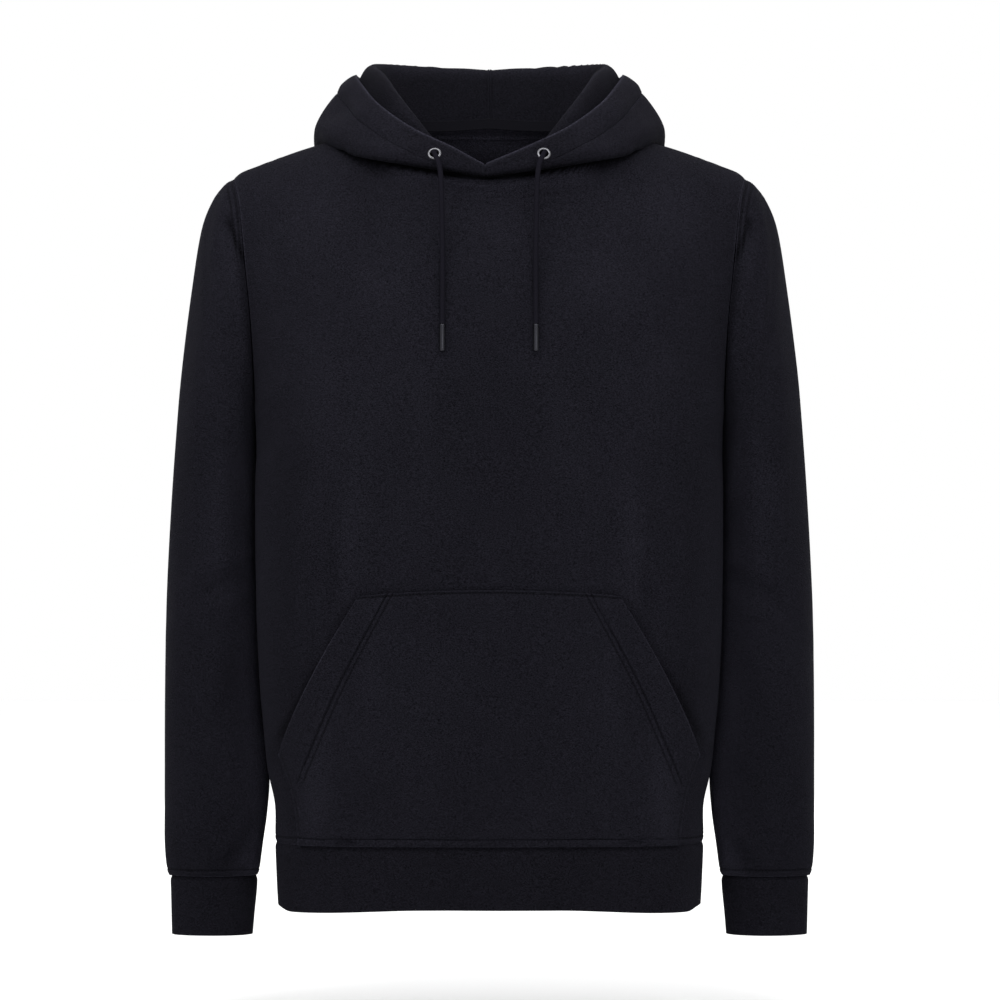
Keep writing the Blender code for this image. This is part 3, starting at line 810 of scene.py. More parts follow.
def fleece_group():
    """Napped fleece: knit rows under a short pile that lies in soft uneven patches, with painted
    light and shade from edges, seams and each point's own value.
    """
    tree, given, made = new_group(
        "napped fleece",
        [
            ("Colour", "NodeSocketColor", (0.02, 0.02, 0.02, 1)),
            ("Speckle", "NodeSocketFloat", 0.5),
            ("Patches", "NodeSocketFloat", 0.3),
            ("Edge", "NodeSocketFloat", 0.5),
            ("Edge Light", "NodeSocketFloat", 4.0),
            ("Painted Shading", "NodeSocketFloat", 0.0),
        ],
        [("Colour", "NodeSocketColor"), ("Height", "NodeSocketFloat")],
    )
    place = tree.nodes.new("ShaderNodeTexCoord").outputs["Object"]
    rows = noise_at(tree, place, KNIT_GRAIN, 2.0)
    pile = noise_at(tree, place, PILE_GRAIN, 3.0)
    patches = noise_at(tree, place, PATCH_GRAIN, 2.0)
    # Each noise is centred, then made as strong as its socket says
    strengths = ((rows, "Speckle"), (pile, "Speckle"), (patches, "Patches"))
    speckle, fine, wide = (
        maths(tree, "MULTIPLY", maths(tree, "SUBTRACT", noise, 0.5), given.outputs[label])
        for noise, label in strengths
    )
    light = maths(tree, "ADD", maths(tree, "ADD", speckle, fine), maths(tree, "ADD", wide, 1.0))
    # Painted highlights along folds and edges and painted shade in seams, from the surface's
    # pointiness, then each point's painted light and shade
    curvature_light = maths(tree, "SUBTRACT", given.outputs["Edge"], 0.5)
    curvature_light = maths(tree, "MULTIPLY_ADD", curvature_light, given.outputs["Edge Light"], 1.0)
    curvature_light = maths(tree, "MAXIMUM", curvature_light, LIGHT_LIMITS[0])
    curvature_light = maths(tree, "MINIMUM", curvature_light, LIGHT_LIMITS[1])
    curvature_light = maths(tree, "ADD", curvature_light, given.outputs["Painted Shading"])
    light = maths(tree, "MULTIPLY", light, curvature_light)
    tree.links.new(shaded(tree, given.outputs["Colour"], light), made.inputs["Colour"])
    pile_height = maths(tree, "MULTIPLY", pile, PILE_RELIEF)
    height = maths(tree, "MULTIPLY_ADD", rows, 1.0, pile_height)
    tree.links.new(height, made.inputs["Height"])
    return tree


FLEECE_COLOUR = (0.0060, 0.0058, 0.0082, 1)
# The thread is darker than the fleece: its own dark colour, and painted shade that makes the stitch
# lines read dark
THREAD_COLOUR = (0.0044, 0.0042, 0.0060, 1)
NAP_HEIGHT = 0.9 * MM


def fleece_material(name, colour, speckle, patches):
    """Matt fleece. The surface's pointiness and each point's painted light and shade are fed to its
    group.
    """
    mat = grouped_material(
        name, napped, {"Colour": colour, "Speckle": speckle, "Patches": patches},
        relief=NAP_HEIGHT, roughness=0.9, Specular_IOR_Level=0.012,
        Sheen_Weight=0.012, Sheen_Roughness=0.35, Sheen_Tint=(0.72, 0.72, 0.95, 1),
    )
    tree = mat.node_tree
    group = next(node for node in tree.nodes if node.type == "GROUP")
    shape = tree.nodes.new("ShaderNodeNewGeometry")
    tree.links.new(shape.outputs["Pointiness"], group.inputs["Edge"])
    painted_shading = tree.nodes.new("ShaderNodeAttribute")
    painted_shading.attribute_name = "painted_shading"
    tree.links.new(painted_shading.outputs["Fac"], group.inputs["Painted Shading"])
    return mat


napped = fleece_group()
fleece = fleece_material("fleece", FLEECE_COLOUR, speckle=2.4, patches=0.45)
thread = grouped_material(
    "sewing thread", fibres, {"Colour": THREAD_COLOUR, "Speckle": 0.8},
    relief=0.05 * MM, roughness=0.6, Specular_IOR_Level=0.04,
)

# Topstitching: each stitch is a short run of thread that dives at both ends
STITCH_PITCH = 3.1 * MM
STITCH_SHARE = 0.8             # of the pitch that shows above the cloth
THREAD_RADIUS = 0.27 * MM
THREAD_SINK = 0.42 * MM
THREAD_RISE = 0.6              # of its radius, above the cloth at a stitch's middle
THREAD_DIVE = 0.7              # power of its arch: a long flat middle and steep ends
THREAD_ENDS = 0.55             # of its radius left where a stitch dives
STITCH_RINGS = 5
THREAD_SIDES = 6


def stitch_run(verts, faces, path, normals):
    """Adds a row of stitches along a path that lies on cloth with these normals."""
    reach = length_of(path)
    count = int(reach / STITCH_PITCH)
    if not count:
        return
    pitch = reach / count
    places = []
    for k in range(count):
        for i in range(STITCH_RINGS):
            share = (i / (STITCH_RINGS - 1) - 0.5) * STITCH_SHARE
            places.append((k + 0.5 + share) * pitch)
    spots = spots_along(path, places)
    points = [path[k].lerp(path[k + 1], share) for k, share in spots]
    ups = [normals[k].lerp(normals[k + 1], share).normalized() for k, share in spots]
    for k in range(count):
        start = k * STITCH_RINGS
        ahead = (points[start + STITCH_RINGS - 1] - points[start]).normalized()
        for i in range(STITCH_RINGS):
            up = ups[start + i]
            side = ahead.cross(up).normalized()
            arch = math.sin(math.pi * i / (STITCH_RINGS - 1))
            rise = THREAD_SINK * (arch**THREAD_DIVE - 1) + THREAD_RADIUS * THREAD_RISE
            centre = points[start + i] + up * rise
            radius = THREAD_RADIUS * (THREAD_ENDS + (1 - THREAD_ENDS) * arch)
            for turn in angles(THREAD_SIDES):
                verts.append(centre + (side * math.cos(turn) + up * math.sin(turn)) * radius)
        base = len(verts) - STITCH_RINGS * THREAD_SIDES
        for i in range(STITCH_RINGS - 1):
            for s in range(THREAD_SIDES):
                a = base + i * THREAD_SIDES + s
                b = base + i * THREAD_SIDES + (s + 1) % THREAD_SIDES
                faces.append((a, a + THREAD_SIDES, b + THREAD_SIDES, b))
        faces.append(tuple(base + s for s in range(THREAD_SIDES)))
        last = base + (STITCH_RINGS - 1) * THREAD_SIDES
        faces.append(tuple(last + s for s in reversed(range(THREAD_SIDES))))


def stitched(name, runs):
    """One object holding rows of stitches, each given as its path and normals."""
    verts, faces = [], []
    for path, normals in runs:
        stitch_run(verts, faces, path, normals)
    mesh = bpy.data.meshes.new(name)
    mesh.from_pydata(verts, [], faces)
    stitches = link(name, mesh, thread)
    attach(stitches, "root")


def row_at(rows, normals, index, first, last):
    return rows[index][first:last], normals[index][first:last]


# Lengths up the panel's lower part, with a channel for the hem's topstitching
LOWER_RUN = UNDERARM_Z - HEM_SEAM_Z
lower_places = with_channels([STITCH_INSET], LOWER_RUN, round(LOWER_RUN / BODY_ROW_STEP))
from_neck = with_channels([NECK_STITCH_INSET], NECK_RUN, round(NECK_RUN / BODY_ROW_STEP))
upper_places = sorted(NECK_RUN - down for down in from_neck)[1:]
HEM_STITCH_ROW = lower_places.index(STITCH_INSET)
NECK_STITCH_ROW = len(lower_places) + upper_places.index(NECK_RUN - NECK_STITCH_INSET)


def body_heights(rows, distances, back):
    """Folds, seams and stitch channels of a panel, as heights of its points, with the painted light
    and shade of each point.
    """
    heights, shades = [], []
    folds = BACK_FOLDS if back else FRONT_FOLDS
    centre = len(rows[0]) // 2
    for i, row in enumerate(rows):
        in_lower = i < len(lower_places)
        hem = lower_places[i] if in_lower else LOWER_RUN
        neck = NECK_RUN if in_lower else NECK_RUN - upper_places[i - len(lower_places)]
        found, shaded_here = [], []
        for j, point in enumerate(row):
            side = distances[i][j if j <= centre else 2 * centre - j]
            x, z = point.x / MM, point.z / MM
            fade = smooth(min(side, hem, BACK_NECK_FADE * neck if back else neck), *PANEL_FADE)
            height = fold_height(folds, x, z) * fade
            dips = seam_dip(side, SIDE_DIP), seam_dip(neck, SHOULDER_DIPS[back]), seam_dip(hem)
            height += min(dips)
            groove = channel(hem, STITCH_INSET)
            if abs(point.x) < NECK_HALF_WIDTH:
                groove += channel(neck, NECK_STITCH_INSET)
            found.append(height + groove)
            glow = 0.0 if in_lower else EDGE_GLOW
            shade = painted_seam_shading(side, groove, glow, PANEL_GLOW_REACH)
            if back:
                shade += painted_shading_by(BACK_NECK_PAINTED_LIGHT, x, z)
            else:
                shade += painted_shading_by(FRONT_PAINTED_PATCHES, x, z) + fold_height(FRONT_SHADES, x, z) / MM
                # Painted shadow just under the hood's edge and painted light below it
                below_hood = (hermite(HOOD_HANGS_TO, abs(x), 1) - z) * MM
                under_hood = 1 - smooth(abs(point.x), *NECK_SHADE_ENDS)
                shade += NECK_SHADE * under_hood * (1 - smooth(below_hood, *NECK_SHADE_REACH))
                lift = NECK_PAINTED_LIGHT * (1 - smooth(abs(point.x), *NECK_PAINTED_LIGHT_ENDS))
                lift *= hump(below_hood - NECK_PAINTED_LIGHT_REACH[0], NECK_PAINTED_LIGHT_REACH[1])
                shade += lift * smooth(below_hood, *NECK_SHADE_REACH)
            shaded_here.append(shade)
        heights.append(found)
        shades.append(shaded_here)
    return heights, shades


def body_grid(back):
    """Finished outer points of a panel with their normals."""
    tops = {share: panel_top(share, back) for share in ROW_SHARES}
    halves = [half_row(None, HEM_SEAM_Z + place, tops, back) for place in lower_places]
    halves += [half_row(place / NECK_RUN, 0.0, tops, back) for place in upper_places]
    rows, distances = zip(*halves)
    mirror = Vector((-1, 1, 1))
    rows = [row + [point * mirror for point in reversed(row[:-1])] for row in rows]
    if not back:
        rows = turned_over(rows)
    normals = surface_normals(rows)
    normals[-TURNED_ROWS:] = [normals[-TURNED_ROWS - 1]] * TURNED_ROWS
    heights, shades = body_heights(rows, distances, back)
    rows = lifted(rows, normals, heights)
    return rows, surface_normals(rows), shades


PANEL_RIM = 0.6 * MM
panels = {}
for name, back in (("front", False), ("back", True)):
    rows, normals, shades = body_grid(back)
    panels[name] = (rows, normals)
    panel = piece(name + "_panel", rows, fleece)
    set_painted_shading(panel, shades)
    add_wall(panel, FLEECE_WALL, PANEL_RIM)
    fasten(panel, "body_" + name)

    # Stitches along the hem seam and the neck seam
    last = len(rows[0]) - 1
    neck_row = rows[NECK_STITCH_ROW]
    neck_first = next(j for j, point in enumerate(neck_row) if abs(point.x) < NECK_HALF_WIDTH)
    runs = [row_at(rows, normals, HEM_STITCH_ROW, 2, last - 1)]
    runs.append(row_at(rows, normals, NECK_STITCH_ROW, neck_first, last + 1 - neck_first))
    stitched(name + "_panel_stitching", runs)


# ---- Hem band -------------------------------------------------------------------
# One strip of the same fleece folded double, so that the fold is the garment's bottom
# edge. It is sewn to both panels and the pocket's foot, with no ribbing.

BAND_WALL = 3.2 * MM
BAND_COLOUR = (0.0051, 0.0049, 0.0069, 1)
BAND_ROWS = 16
FOLD_RADIUS = 1.5 * MM
HEM_TURNED_IN = 2.6 * MM
HEM_TURNED_UP = 2.5 * MM
BAND_SAG = 3.4 * MM
BAND_SAG_FROM = 60 * MM        # out from the middle
BAND_WAVE_AT_SEAM = 0.25       # of a wave's height at the fold
BAND_BACK_SHIFT = 0.03         # the waves at the back aren't opposite those in front
BAND_CORNER = (174 * MM, 191 * MM)        # half widths over which a lower corner curves up
BAND_CORNER_RISE = 4.5 * MM
BAND_CORNER_FROM = 0.7         # of the way down
BAND_FOLD_STEPS = (0.0, 0.5 * MM, 1.2 * MM, 2.4 * MM)     # up from the fold
BAND_SEAM_STEPS = (2.6 * MM, 1.5 * MM, 0.7 * MM, 0.0)     # down from the seam
BAND_SEAM_CLEAR = 4 * MM
BAND_COLUMNS = 150             # in a half round
# Place round the band as a share of each half, width and height of its soft waves
BAND_WAVES = [
    (0.10, 13, 0.8),
    (0.19, 17, -0.9),
    (0.31, 20, 0.9),
    (0.43, 15, -0.7),
    (0.52, 22, 0.8),
    (0.64, 16, -0.8),
    (0.77, 19, 0.9),
    (0.88, 12, -0.9),
]


def band_heights(rows, waves, seam_z, bottom_z):
    """Waves that die out at the seam, the pull of the seam, and the soft folded edge."""
    heights = []
    count = len(rows[0])
    run = length_of(rows[0] + rows[0][:1])
    for row in rows:
        z = row[len(row) // 4].z
        down = min(max((seam_z - z) / (seam_z - bottom_z), 0.0), 1.0)
        found = []
        for j in range(count):
            total = 0.0
            for share, width, height in waves:
                total += height * hump(abs(j / count - share) * run / MM, width)
            fade = BAND_WAVE_AT_SEAM + (1 - BAND_WAVE_AT_SEAM) * down
            found.append(total * MM * fade + seam_dip(seam_z - z))
        heights.append(found)
    return heights


def folded_band_zs(bottom, top, count):
    """Heights of a band's rows, closer at its folded edge and at its seam."""
    lower = [bottom + step for step in BAND_FOLD_STEPS]
    return (
        lower
        + spread(lower[-1], top - BAND_SEAM_CLEAR, count)
        + [top - step for step in BAND_SEAM_STEPS]
    )


def band_ring(z):
    """Hem ring at a height, anticlockwise from the right side seam along the front."""
    half = section(z, 1) * MM
    ring = []
    for back in (False, True):
        line = []
        for k in range(2 * ROW_SAMPLES + 1):
            turn = math.pi * k / (2 * ROW_SAMPLES)
            share = math.copysign(abs(math.cos(turn)) ** 0.5, math.cos(turn))
            x = half * (share if back else -share)
            y = body_depth(x, z, back)
            line.append(Vector((x, y if back else -y, z)))
        reach = length_of(line)
        ring += at_distances(line, [reach * k / BAND_COLUMNS for k in range(BAND_COLUMNS)])
    return ring


def hung_corners(rows, seam_z, bottom_z):
    """The band sags a little towards the sides, and its lower corners are rounded."""
    shaped = []
    for row in rows:
        down = (seam_z - row[0].z) / (seam_z - bottom_z)
        line = []
        for point in row:
            aside = abs(point.x)
            sag = BAND_SAG * smooth(aside, BAND_SAG_FROM, BAND_CORNER[0]) * down
            raised = BAND_CORNER_RISE * smooth(aside, *BAND_CORNER) ** 2
            raised *= smooth(down, BAND_CORNER_FROM, 1.0)
            line.append(point + Vector((0, 0, raised - sag)))
        shaped.append(line)
    return shaped


seam_end = HEM_SEAM_Z - SEAM_GAP
band_rows = [band_ring(z) for z in folded_band_zs(HEM_BOTTOM_Z, seam_end, BAND_ROWS)]
band_rows = hung_corners(band_rows, seam_end, HEM_BOTTOM_Z)
band_waves = [(share / 2, *size) for share, *size in BAND_WAVES]
band_waves += [(0.5 + (share + BAND_BACK_SHIFT) / 2, *size) for share, *size in BAND_WAVES]
band_rows = lifted(
    band_rows,
    surface_normals(band_rows, closed=True),
    band_heights(band_rows, band_waves, seam_end, HEM_BOTTOM_Z),
)
# The sewn edge turns in behind the panels, so that no light comes through the seam
turned_in = []
for point, normal in zip(band_rows[-1], surface_normals(band_rows, closed=True)[-1]):
    inward = Vector((-normal.x, -normal.y, 0)).normalized() * HEM_TURNED_IN
    turned_in.append(point + inward + Vector((0, 0, HEM_TURNED_UP)))
band_rows.append(turned_in)
band_fleece = fleece_material("band fleece", BAND_COLOUR, speckle=2.6, patches=0.35)
hem_band = piece("hem_strip", band_rows, band_fleece, closed=True)
add_wall(hem_band, BAND_WALL, FOLD_RADIUS)
fasten(hem_band, "hem_band")


# ---- Sleeves ----------------------------------------------------------------------
# One cut each, set into the armhole and closed by a seam under the arm. They hang just
# clear of the body and bend a little forward.

# Rings from the armhole to the cuff seam:
# outer x, outer z, inner x, inner z, y of the middle, half depth
SLEEVE_SECTIONS = [
    (232.9, -55.5, 213.0, -262, 0, 57),
    (242.2, -61.5, 212.5, -267, 3, 63),
    (252.4, -75.5, 212.3, -274, 7, 67),
    (262.6, -102, 212.2, -285, 11, 69),
    (271.5, -155, 212.2, -305, 16, 69),
    (280.2, -222, 212.2, -335, 20, 67),
    (287.0, -300, 212.9, -372, 24, 64),
    (292.2, -375, 212.7, -411, 27, 60),
    (295.7, -440, 211.9, -450, 29, 56),
    (297.6, -500, 210.4, -500, 30, 52),
    (298.3, -550, 206.9, -550, 30, 49),
    (298.2, -595, 201.5, -595, 28, 45),
    (297.9, -630, 203.0, -630, 26, 41),
    (297.1, -662, 207.3, -662, 24, 37),
    (294.4, -690, 210.8, -690, 22, 32),
]
SLEEVE_COLUMNS = 88
SLEEVE_ROW_STEP = 4.6 * MM
ARMHOLE_FADE_RINGS = 5
ARMHOLE_GAP = 0.35 * MM
ARMHOLE_DIP = 0.5 * MM
ARMHOLE_STITCHES = (1.9 * MM, 5.7 * MM)     # twin rows on the sleeve, along the armhole

# Folds of a sleeve, seen from outside: turn round the sleeve in degrees from the outer
# side towards the front, and length down the sleeve in millimetres, for both ends;
# width, height
SLEEVE_FOLDS = {
    "left": [
        (8, 4, 70, 62, 8, -1.3),
        (24, 2, 92, 74, 9, 1.4),
        (-20, 6, -84, 70, 9, 1.3),
        (-4, 4, -66, 60, 8, -1.2),
        (120, 20, 150, 150, 12, 1.4),
        (62, 60, 74, 210, 17, 1.5),
        (40, 90, 46, 240, 15, -1.1),
        (88, 120, 96, 300, 14, -1.4),
        (28, 150, 60, 330, 18, 1.4),
        (150, 235, 60, 282, 10, 1.6),
        (140, 262, 66, 300, 9, -1.4),
        (120, 290, 30, 322, 11, 1.3),
        (104, 340, 56, 470, 15, 1.4),
        (20, 330, 10, 480, 16, -1.0),
        (130, 520, 60, 590, 9, -1.7),
        (122, 500, 50, 572, 9, 1.5),
        (136, 556, 76, 604, 8, 1.5),
        (18, 540, 58, 606, 9, 1.4),
        (6, 548, 40, 610, 8, -1.3),
        (90, 570, 96, 618, 9, 1.1),
        (-70, 80, -76, 260, 17, 1.5),
        (-100, 130, -96, 320, 14, -1.4),
        (-150, 240, -70, 286, 10, 1.6),
        (-142, 268, -64, 306, 9, -1.4),
        (-60, 350, -30, 480, 15, 1.3),
        (-130, 514, -60, 580, 9, 1.6),
        (-124, 540, -66, 602, 9, -1.5),
        (-20, 552, -60, 612, 9, 1.3),
    ],
    "right": [
        (10, 4, 72, 60, 8, -1.3),
        (26, 2, 94, 72, 9, 1.4),
        (-18, 6, -82, 72, 9, 1.3),
        (-6, 4, -68, 58, 8, -1.2),
        (118, 24, 148, 160, 12, 1.3),
        (60, 64, 76, 200, 17, 1.4),
        (42, 96, 44, 250, 15, -1.1),
        (86, 130, 94, 290, 14, -1.3),
        (30, 160, 58, 340, 18, 1.4),
        (148, 230, 62, 276, 10, 1.5),
        (138, 258, 64, 296, 9, -1.4),
        (118, 286, 34, 316, 11, 1.3),
        (100, 350, 58, 460, 15, 1.4),
        (22, 320, 12, 470, 16, -1.0),
        (132, 512, 62, 586, 9, -1.6),
        (124, 494, 54, 566, 9, 1.5),
        (134, 550, 78, 600, 8, 1.5),
        (20, 536, 56, 602, 9, 1.4),
        (8, 546, 38, 608, 8, -1.3),
        (92, 566, 94, 616, 9, 1.1),
        (-72, 84, -74, 250, 17, 1.5),
        (-98, 126, -94, 330, 14, -1.4),
        (-148, 244, -72, 290, 10, 1.5),
        (-140, 272, -66, 310, 9, -1.4),
        (-58, 344, -34, 470, 15, 1.3),
        (-128, 508, -62, 576, 9, 1.6),
        (-122, 536, -68, 598, 9, -1.5),
        (-22, 550, -58, 610, 9, 1.3),
    ],
}


ARMHOLE_STITCH_END_Z = -128 * MM
SLEEVE_GIRTH = 48              # millimetres for each radian
SLEEVE_SAMPLES = 24            # for each ring of the table, where its length is measured
SLEEVE_HEAD = (9 * MM, 11 * MM)      # end of the fine rows at the armhole, and the next row
# Painted light (+) and painted shade (-) on a sleeve, as millimetres round it from the outer side
# towards the front and millimetres down it, with half widths, half heights and amounts
SLEEVE_PAINTED_PATCHES = [
    (82, 230, 13, 75, 0.16),
    (60, 60, 16, 60, 0.10),
    (138, 360, 26, 300, 3.2),
    (70, 560, 50, 60, -0.2),
    (60, 400, 20, 80, -0.06),
]


def armhole_point(turn):
    """Seam round the left armhole at a turn from the top, towards the front."""
    top, bottom = shoulder_z(SHOULDER_X), UNDERARM_Z
    z = (top + bottom) / 2 + (top - bottom) / 2 * math.cos(turn)
    x = armhole_x(z)
    back = math.sin(turn) < 0
    depth = body_depth(x, z, back)
    return Vector((x, depth if back else -depth, z))


def sleeve_row(place):
    """Row of the sleeve's table at a fractional place, by the same smooth curve."""
    table = [(k, *row) for k, row in enumerate(SLEEVE_SECTIONS)]
    return [hermite(table, place, column) for column in range(1, 7)]


def oval_point(row, turn):
    """Point of a ring at a turn from its outer side, towards the front."""
    outer = Vector((row[0], row[4], row[1])) * MM
    inner = Vector((row[2], row[4], row[3])) * MM
    point = (outer + inner) / 2 + (outer - inner) / 2 * math.cos(turn)
    point.y -= row[5] * MM * math.sin(turn)
    return point


def sleeve_ring(place, turns, shifts):
    row = sleeve_row(place)
    fade = max(1 - place / ARMHOLE_FADE_RINGS, 0) ** 2
    return [oval_point(row, turn) + shift * fade for turn, shift in zip(turns, shifts)]


def sleeve_places(turns, shifts):
    """Fractional places of the rings, closer at both seams and over the cuff's stitches."""
    last = len(SLEEVE_SECTIONS) - 1
    fine = [k / SLEEVE_SAMPLES for k in range(SLEEVE_SAMPLES * last + 1)]
    line = [sum(sleeve_ring(place, turns, shifts), Vector()) / len(turns) for place in fine]
    runs = [0.0]
    for a, b in zip(line, line[1:]):
        runs.append(runs[-1] + (b - a).length)
    reach = runs[-1]
    ends = with_channels([STITCH_INSET], reach, round(reach / SLEEVE_ROW_STEP))
    wanted = sorted(reach - end for end in ends)
    head = with_channels(ARMHOLE_STITCHES, SLEEVE_HEAD[0], 2)
    wanted = head + [want for want in wanted if want > SLEEVE_HEAD[1]]
    places = []
    for want in wanted:
        k = min(bisect.bisect(runs, want + 1e-9) - 1, len(fine) - 2)
        share = (want - runs[k]) / (runs[k + 1] - runs[k])
        places.append(min(fine[k] + share * (fine[k + 1] - fine[k]), last))
    return places, wanted, reach


# Where the sleeve's cloth turns over the lower armhole seam, as folds are given
ARMHOLE_TUCKS = [
    (42, 17, 49, 9, 2.4, -0.5),
    (49, 8.5, 71, 1, 2.6, -1.5),
    (56, 20, 86, 12, 7.0, 1.3),
    (-42, 17, -49, 9, 2.4, -0.5),
    (-49, 8.5, -71, 1, 2.6, -1.5),
    (-56, 20, -86, 12, 7.0, 1.3),
]
SLEEVE_FOLDING = (0.4, 1.0, 0.0, 1.5)
SLEEVE_FADE = (1.5 * MM, 18 * MM)    # folds die out towards both seams
STITCHED_TO = (68, 76)         # degrees round the armhole where its stitches go under
TOP_PULL = 0.3                 # of the stitches' pull at the top of the armhole
TOP_PULL_TO = (8, 22)          # degrees over which it grows
# Painted shade in the tucks and painted shade on the sleeve next to the body
TUCK_SHADE = 0.3
ARMHOLE_SHADE = -0.3
ARMHOLE_SHADE_REACH = 13 * MM


def sleeve_fold(folds, degrees, run):
    """Height of a sleeve's folds at degrees round it and millimetres down it."""
    total = 0.0
    for turn0, run0, turn1, run1, width, height in folds:
        reach = math.radians(turn1 - turn0) * SLEEVE_GIRTH
        apart = math.radians(degrees - turn0) * SLEEVE_GIRTH
        total += height * on_fold(reach, run1 - run0, apart, run - run0, width, SLEEVE_FOLDING)
    return total


def sleeve_relief(turns, runs, reach, folds):
    """Heights and painted light and shade of a sleeve's points, for rows from the armhole down."""
    heights, shades = [], []
    for run in runs:
        found, shaded_here = [], []
        fade = smooth(min(run, reach - run), *SLEEVE_FADE)
        for turn in turns:
            degrees = (math.degrees(turn) + 180) % 360 - 180
            stitched_here = 1 - smooth(abs(degrees), *STITCHED_TO)
            tuck = sleeve_fold(ARMHOLE_TUCKS, degrees, run / MM)
            groove = channel(reach - run, STITCH_INSET)
            pull = TOP_PULL + (1 - TOP_PULL) * smooth(abs(degrees), *TOP_PULL_TO)
            groove += stitched_here * pull * sum(channel(run, at) for at in ARMHOLE_STITCHES)
            height = sleeve_fold(folds, degrees, run / MM) * MM * fade + tuck * MM + groove
            height += seam_dip(reach - run) + seam_dip(run, ARMHOLE_DIP)
            found.append(height)
            shade = painted_shading_by(SLEEVE_PAINTED_PATCHES, math.radians(degrees) * SLEEVE_GIRTH, run / MM)
            shade += GROOVE_SHADE * groove / MM + TUCK_SHADE * min(tuck, 0.0)
            under = 1 - smooth(run, 0, ARMHOLE_SHADE_REACH)
            shade += ARMHOLE_SHADE * (1 - stitched_here) * under
            shaded_here.append(shade)
        heights.append(found)
        shades.append(shaded_here)
    return heights, shades


turns = angles(SLEEVE_COLUMNS)
first_row = SLEEVE_SECTIONS[0]
aside = Vector((ARMHOLE_GAP, 0, 0))
shifts = [armhole_point(turn) + aside - oval_point(first_row, turn) for turn in turns]
ring_places, ring_runs, sleeve_reach = sleeve_places(turns, shifts)
stitch_places = [*ARMHOLE_STITCHES, sleeve_reach - STITCH_INSET]
stitch_rings = [
    min(range(len(ring_runs)), key=lambda k: abs(ring_runs[k] - place)) for place in stitch_places
]
for side_name, side in SIDES:
    folds = SLEEVE_FOLDS[side_name]
    heights, shades = sleeve_relief(turns, ring_runs, sleeve_reach, folds)
    # Rows run up from the cuff, and columns anticlockwise seen from above
    mirror = Vector((side, 1, 1))
    rows = [[p * mirror for p in sleeve_ring(place, turns, shifts)] for place in ring_places]
    grids = [grid[::-1] for grid in (rows, heights, shades)]
    rows, heights, shades = map(turned_over, grids) if side > 0 else grids
    rows = lifted(rows, surface_normals(rows, closed=True), heights)
    name = side_name + "_sleeve"
    sleeve = piece(name, rows, fleece, closed=True)
    set_painted_shading(sleeve, shades)
    add_wall(sleeve, FLEECE_WALL, PANEL_RIM)
    fasten(sleeve, "sleeve_" + side_name)
    normals = surface_normals(rows, closed=True)
    runs = []
    for k, ring in enumerate(len(rows) - 1 - k for k in stitch_rings):
        path = rows[ring] + rows[ring][:1]
        ups = normals[ring] + normals[ring][:1]
        if k < len(ARMHOLE_STITCHES):
            # Only over the top of the armhole, which is half way along the shifted ring
            half = SLEEVE_COLUMNS // 2
            ring_order = [*range(half, SLEEVE_COLUMNS), *range(half)]
            seen = [j for j in ring_order if rows[ring][j].z > ARMHOLE_STITCH_END_Z]
            path, ups = [rows[ring][j] for j in seen], [normals[ring][j] for j in seen]
        runs.append((path, ups))
    stitched(name + "_stitching", runs)


# ---- Cuffs ------------------------------------------------------------------------
# A plain band folded double at each wrist, sewn to the gathered end of the sleeve.

# z, outer x, inner x, half depth
CUFF_SECTIONS = [
    (-744, 290.3, 216.3, 26),
    (-724, 290.8, 214.6, 26),
    (-704, 291.3, 212.6, 27),
    (-690.6, 291.8, 211.8, 30),
]
CUFF_Y = 22
CUFF_ROWS = 12
# Share of the way round, width and height
CUFF_WAVES = [
    (0.08, 7, 0.6),
    (0.22, 8, -0.6),
    (0.37, 9, 0.6),
    (0.55, 8, -0.5),
    (0.72, 9, 0.7),
    (0.88, 7, -0.6),
]

cuff_top, cuff_bottom = CUFF_SECTIONS[-1][0] * MM, CUFF_SECTIONS[0][0] * MM
for side_name, side in SIDES:
    mirror = Vector((side, 1, 1))
    rows = []
    for z in folded_band_zs(cuff_bottom, cuff_top, CUFF_ROWS):
        outer, inner, depth = (hermite(CUFF_SECTIONS, z / MM, column) for column in (1, 2, 3))
        row = (outer, z / MM, inner, z / MM, CUFF_Y, depth)
        rows.append([oval_point(row, turn) * mirror for turn in turns][::-side])
    heights = band_heights(rows, CUFF_WAVES, cuff_top, cuff_bottom)
    rows = lifted(rows, surface_normals(rows, closed=True), heights)
    cuff = piece(side_name + "_cuff", rows, band_fleece, closed=True)
    add_wall(cuff, BAND_WALL, FOLD_RADIUS)
    fasten(cuff, "cuff_" + side_name)


# ---- Kangaroo pocket ----------------------------------------------------------------
# A six-sided patch of fleece on the front panel. Its slanted edges are open, and their
# turned hems are held by twin rows of stitches; the other edges are sewn down.

# Half widths and heights of its corners
POCKET_TOP = (115.7 * MM, -432.6 * MM)
POCKET_SIDE = (185.5 * MM, -575 * MM)
POCKET_FOOT = (169.5 * MM, -655.2 * MM)
POCKET_BOW = 5 * MM            # the top edge rises in the middle
OPENING_BOW = 3.6 * MM         # the open edges bow outwards
POCKET_WALL = 2.0 * MM
POCKET_LIFT = 1.0 * MM
OPENING_STAND = 4.6 * MM       # how far the middle of an opening stands off more
HEM_STITCHES = (25.5 * MM, 30.5 * MM)     # of the opening's turned hem, level with the edge
HEM_RAISE = 1.3 * MM           # the hem's second layer
EDGE_STITCH = 2.2 * MM
POCKET_STITCH_DEPTH = 0.8 * MM
POCKET_COLUMN_STEP = 2.6 * MM
POCKET_SIDE_ROWS = (24, 54)    # along the sewn side and along the opening
POCKET_HEM_COLUMNS = 10
POCKET_TOP_EDGE = 3.3 * MM     # rows follow the top edge this far down
OPENING_REACH = 26 * MM        # in from the edge, how far it stands off
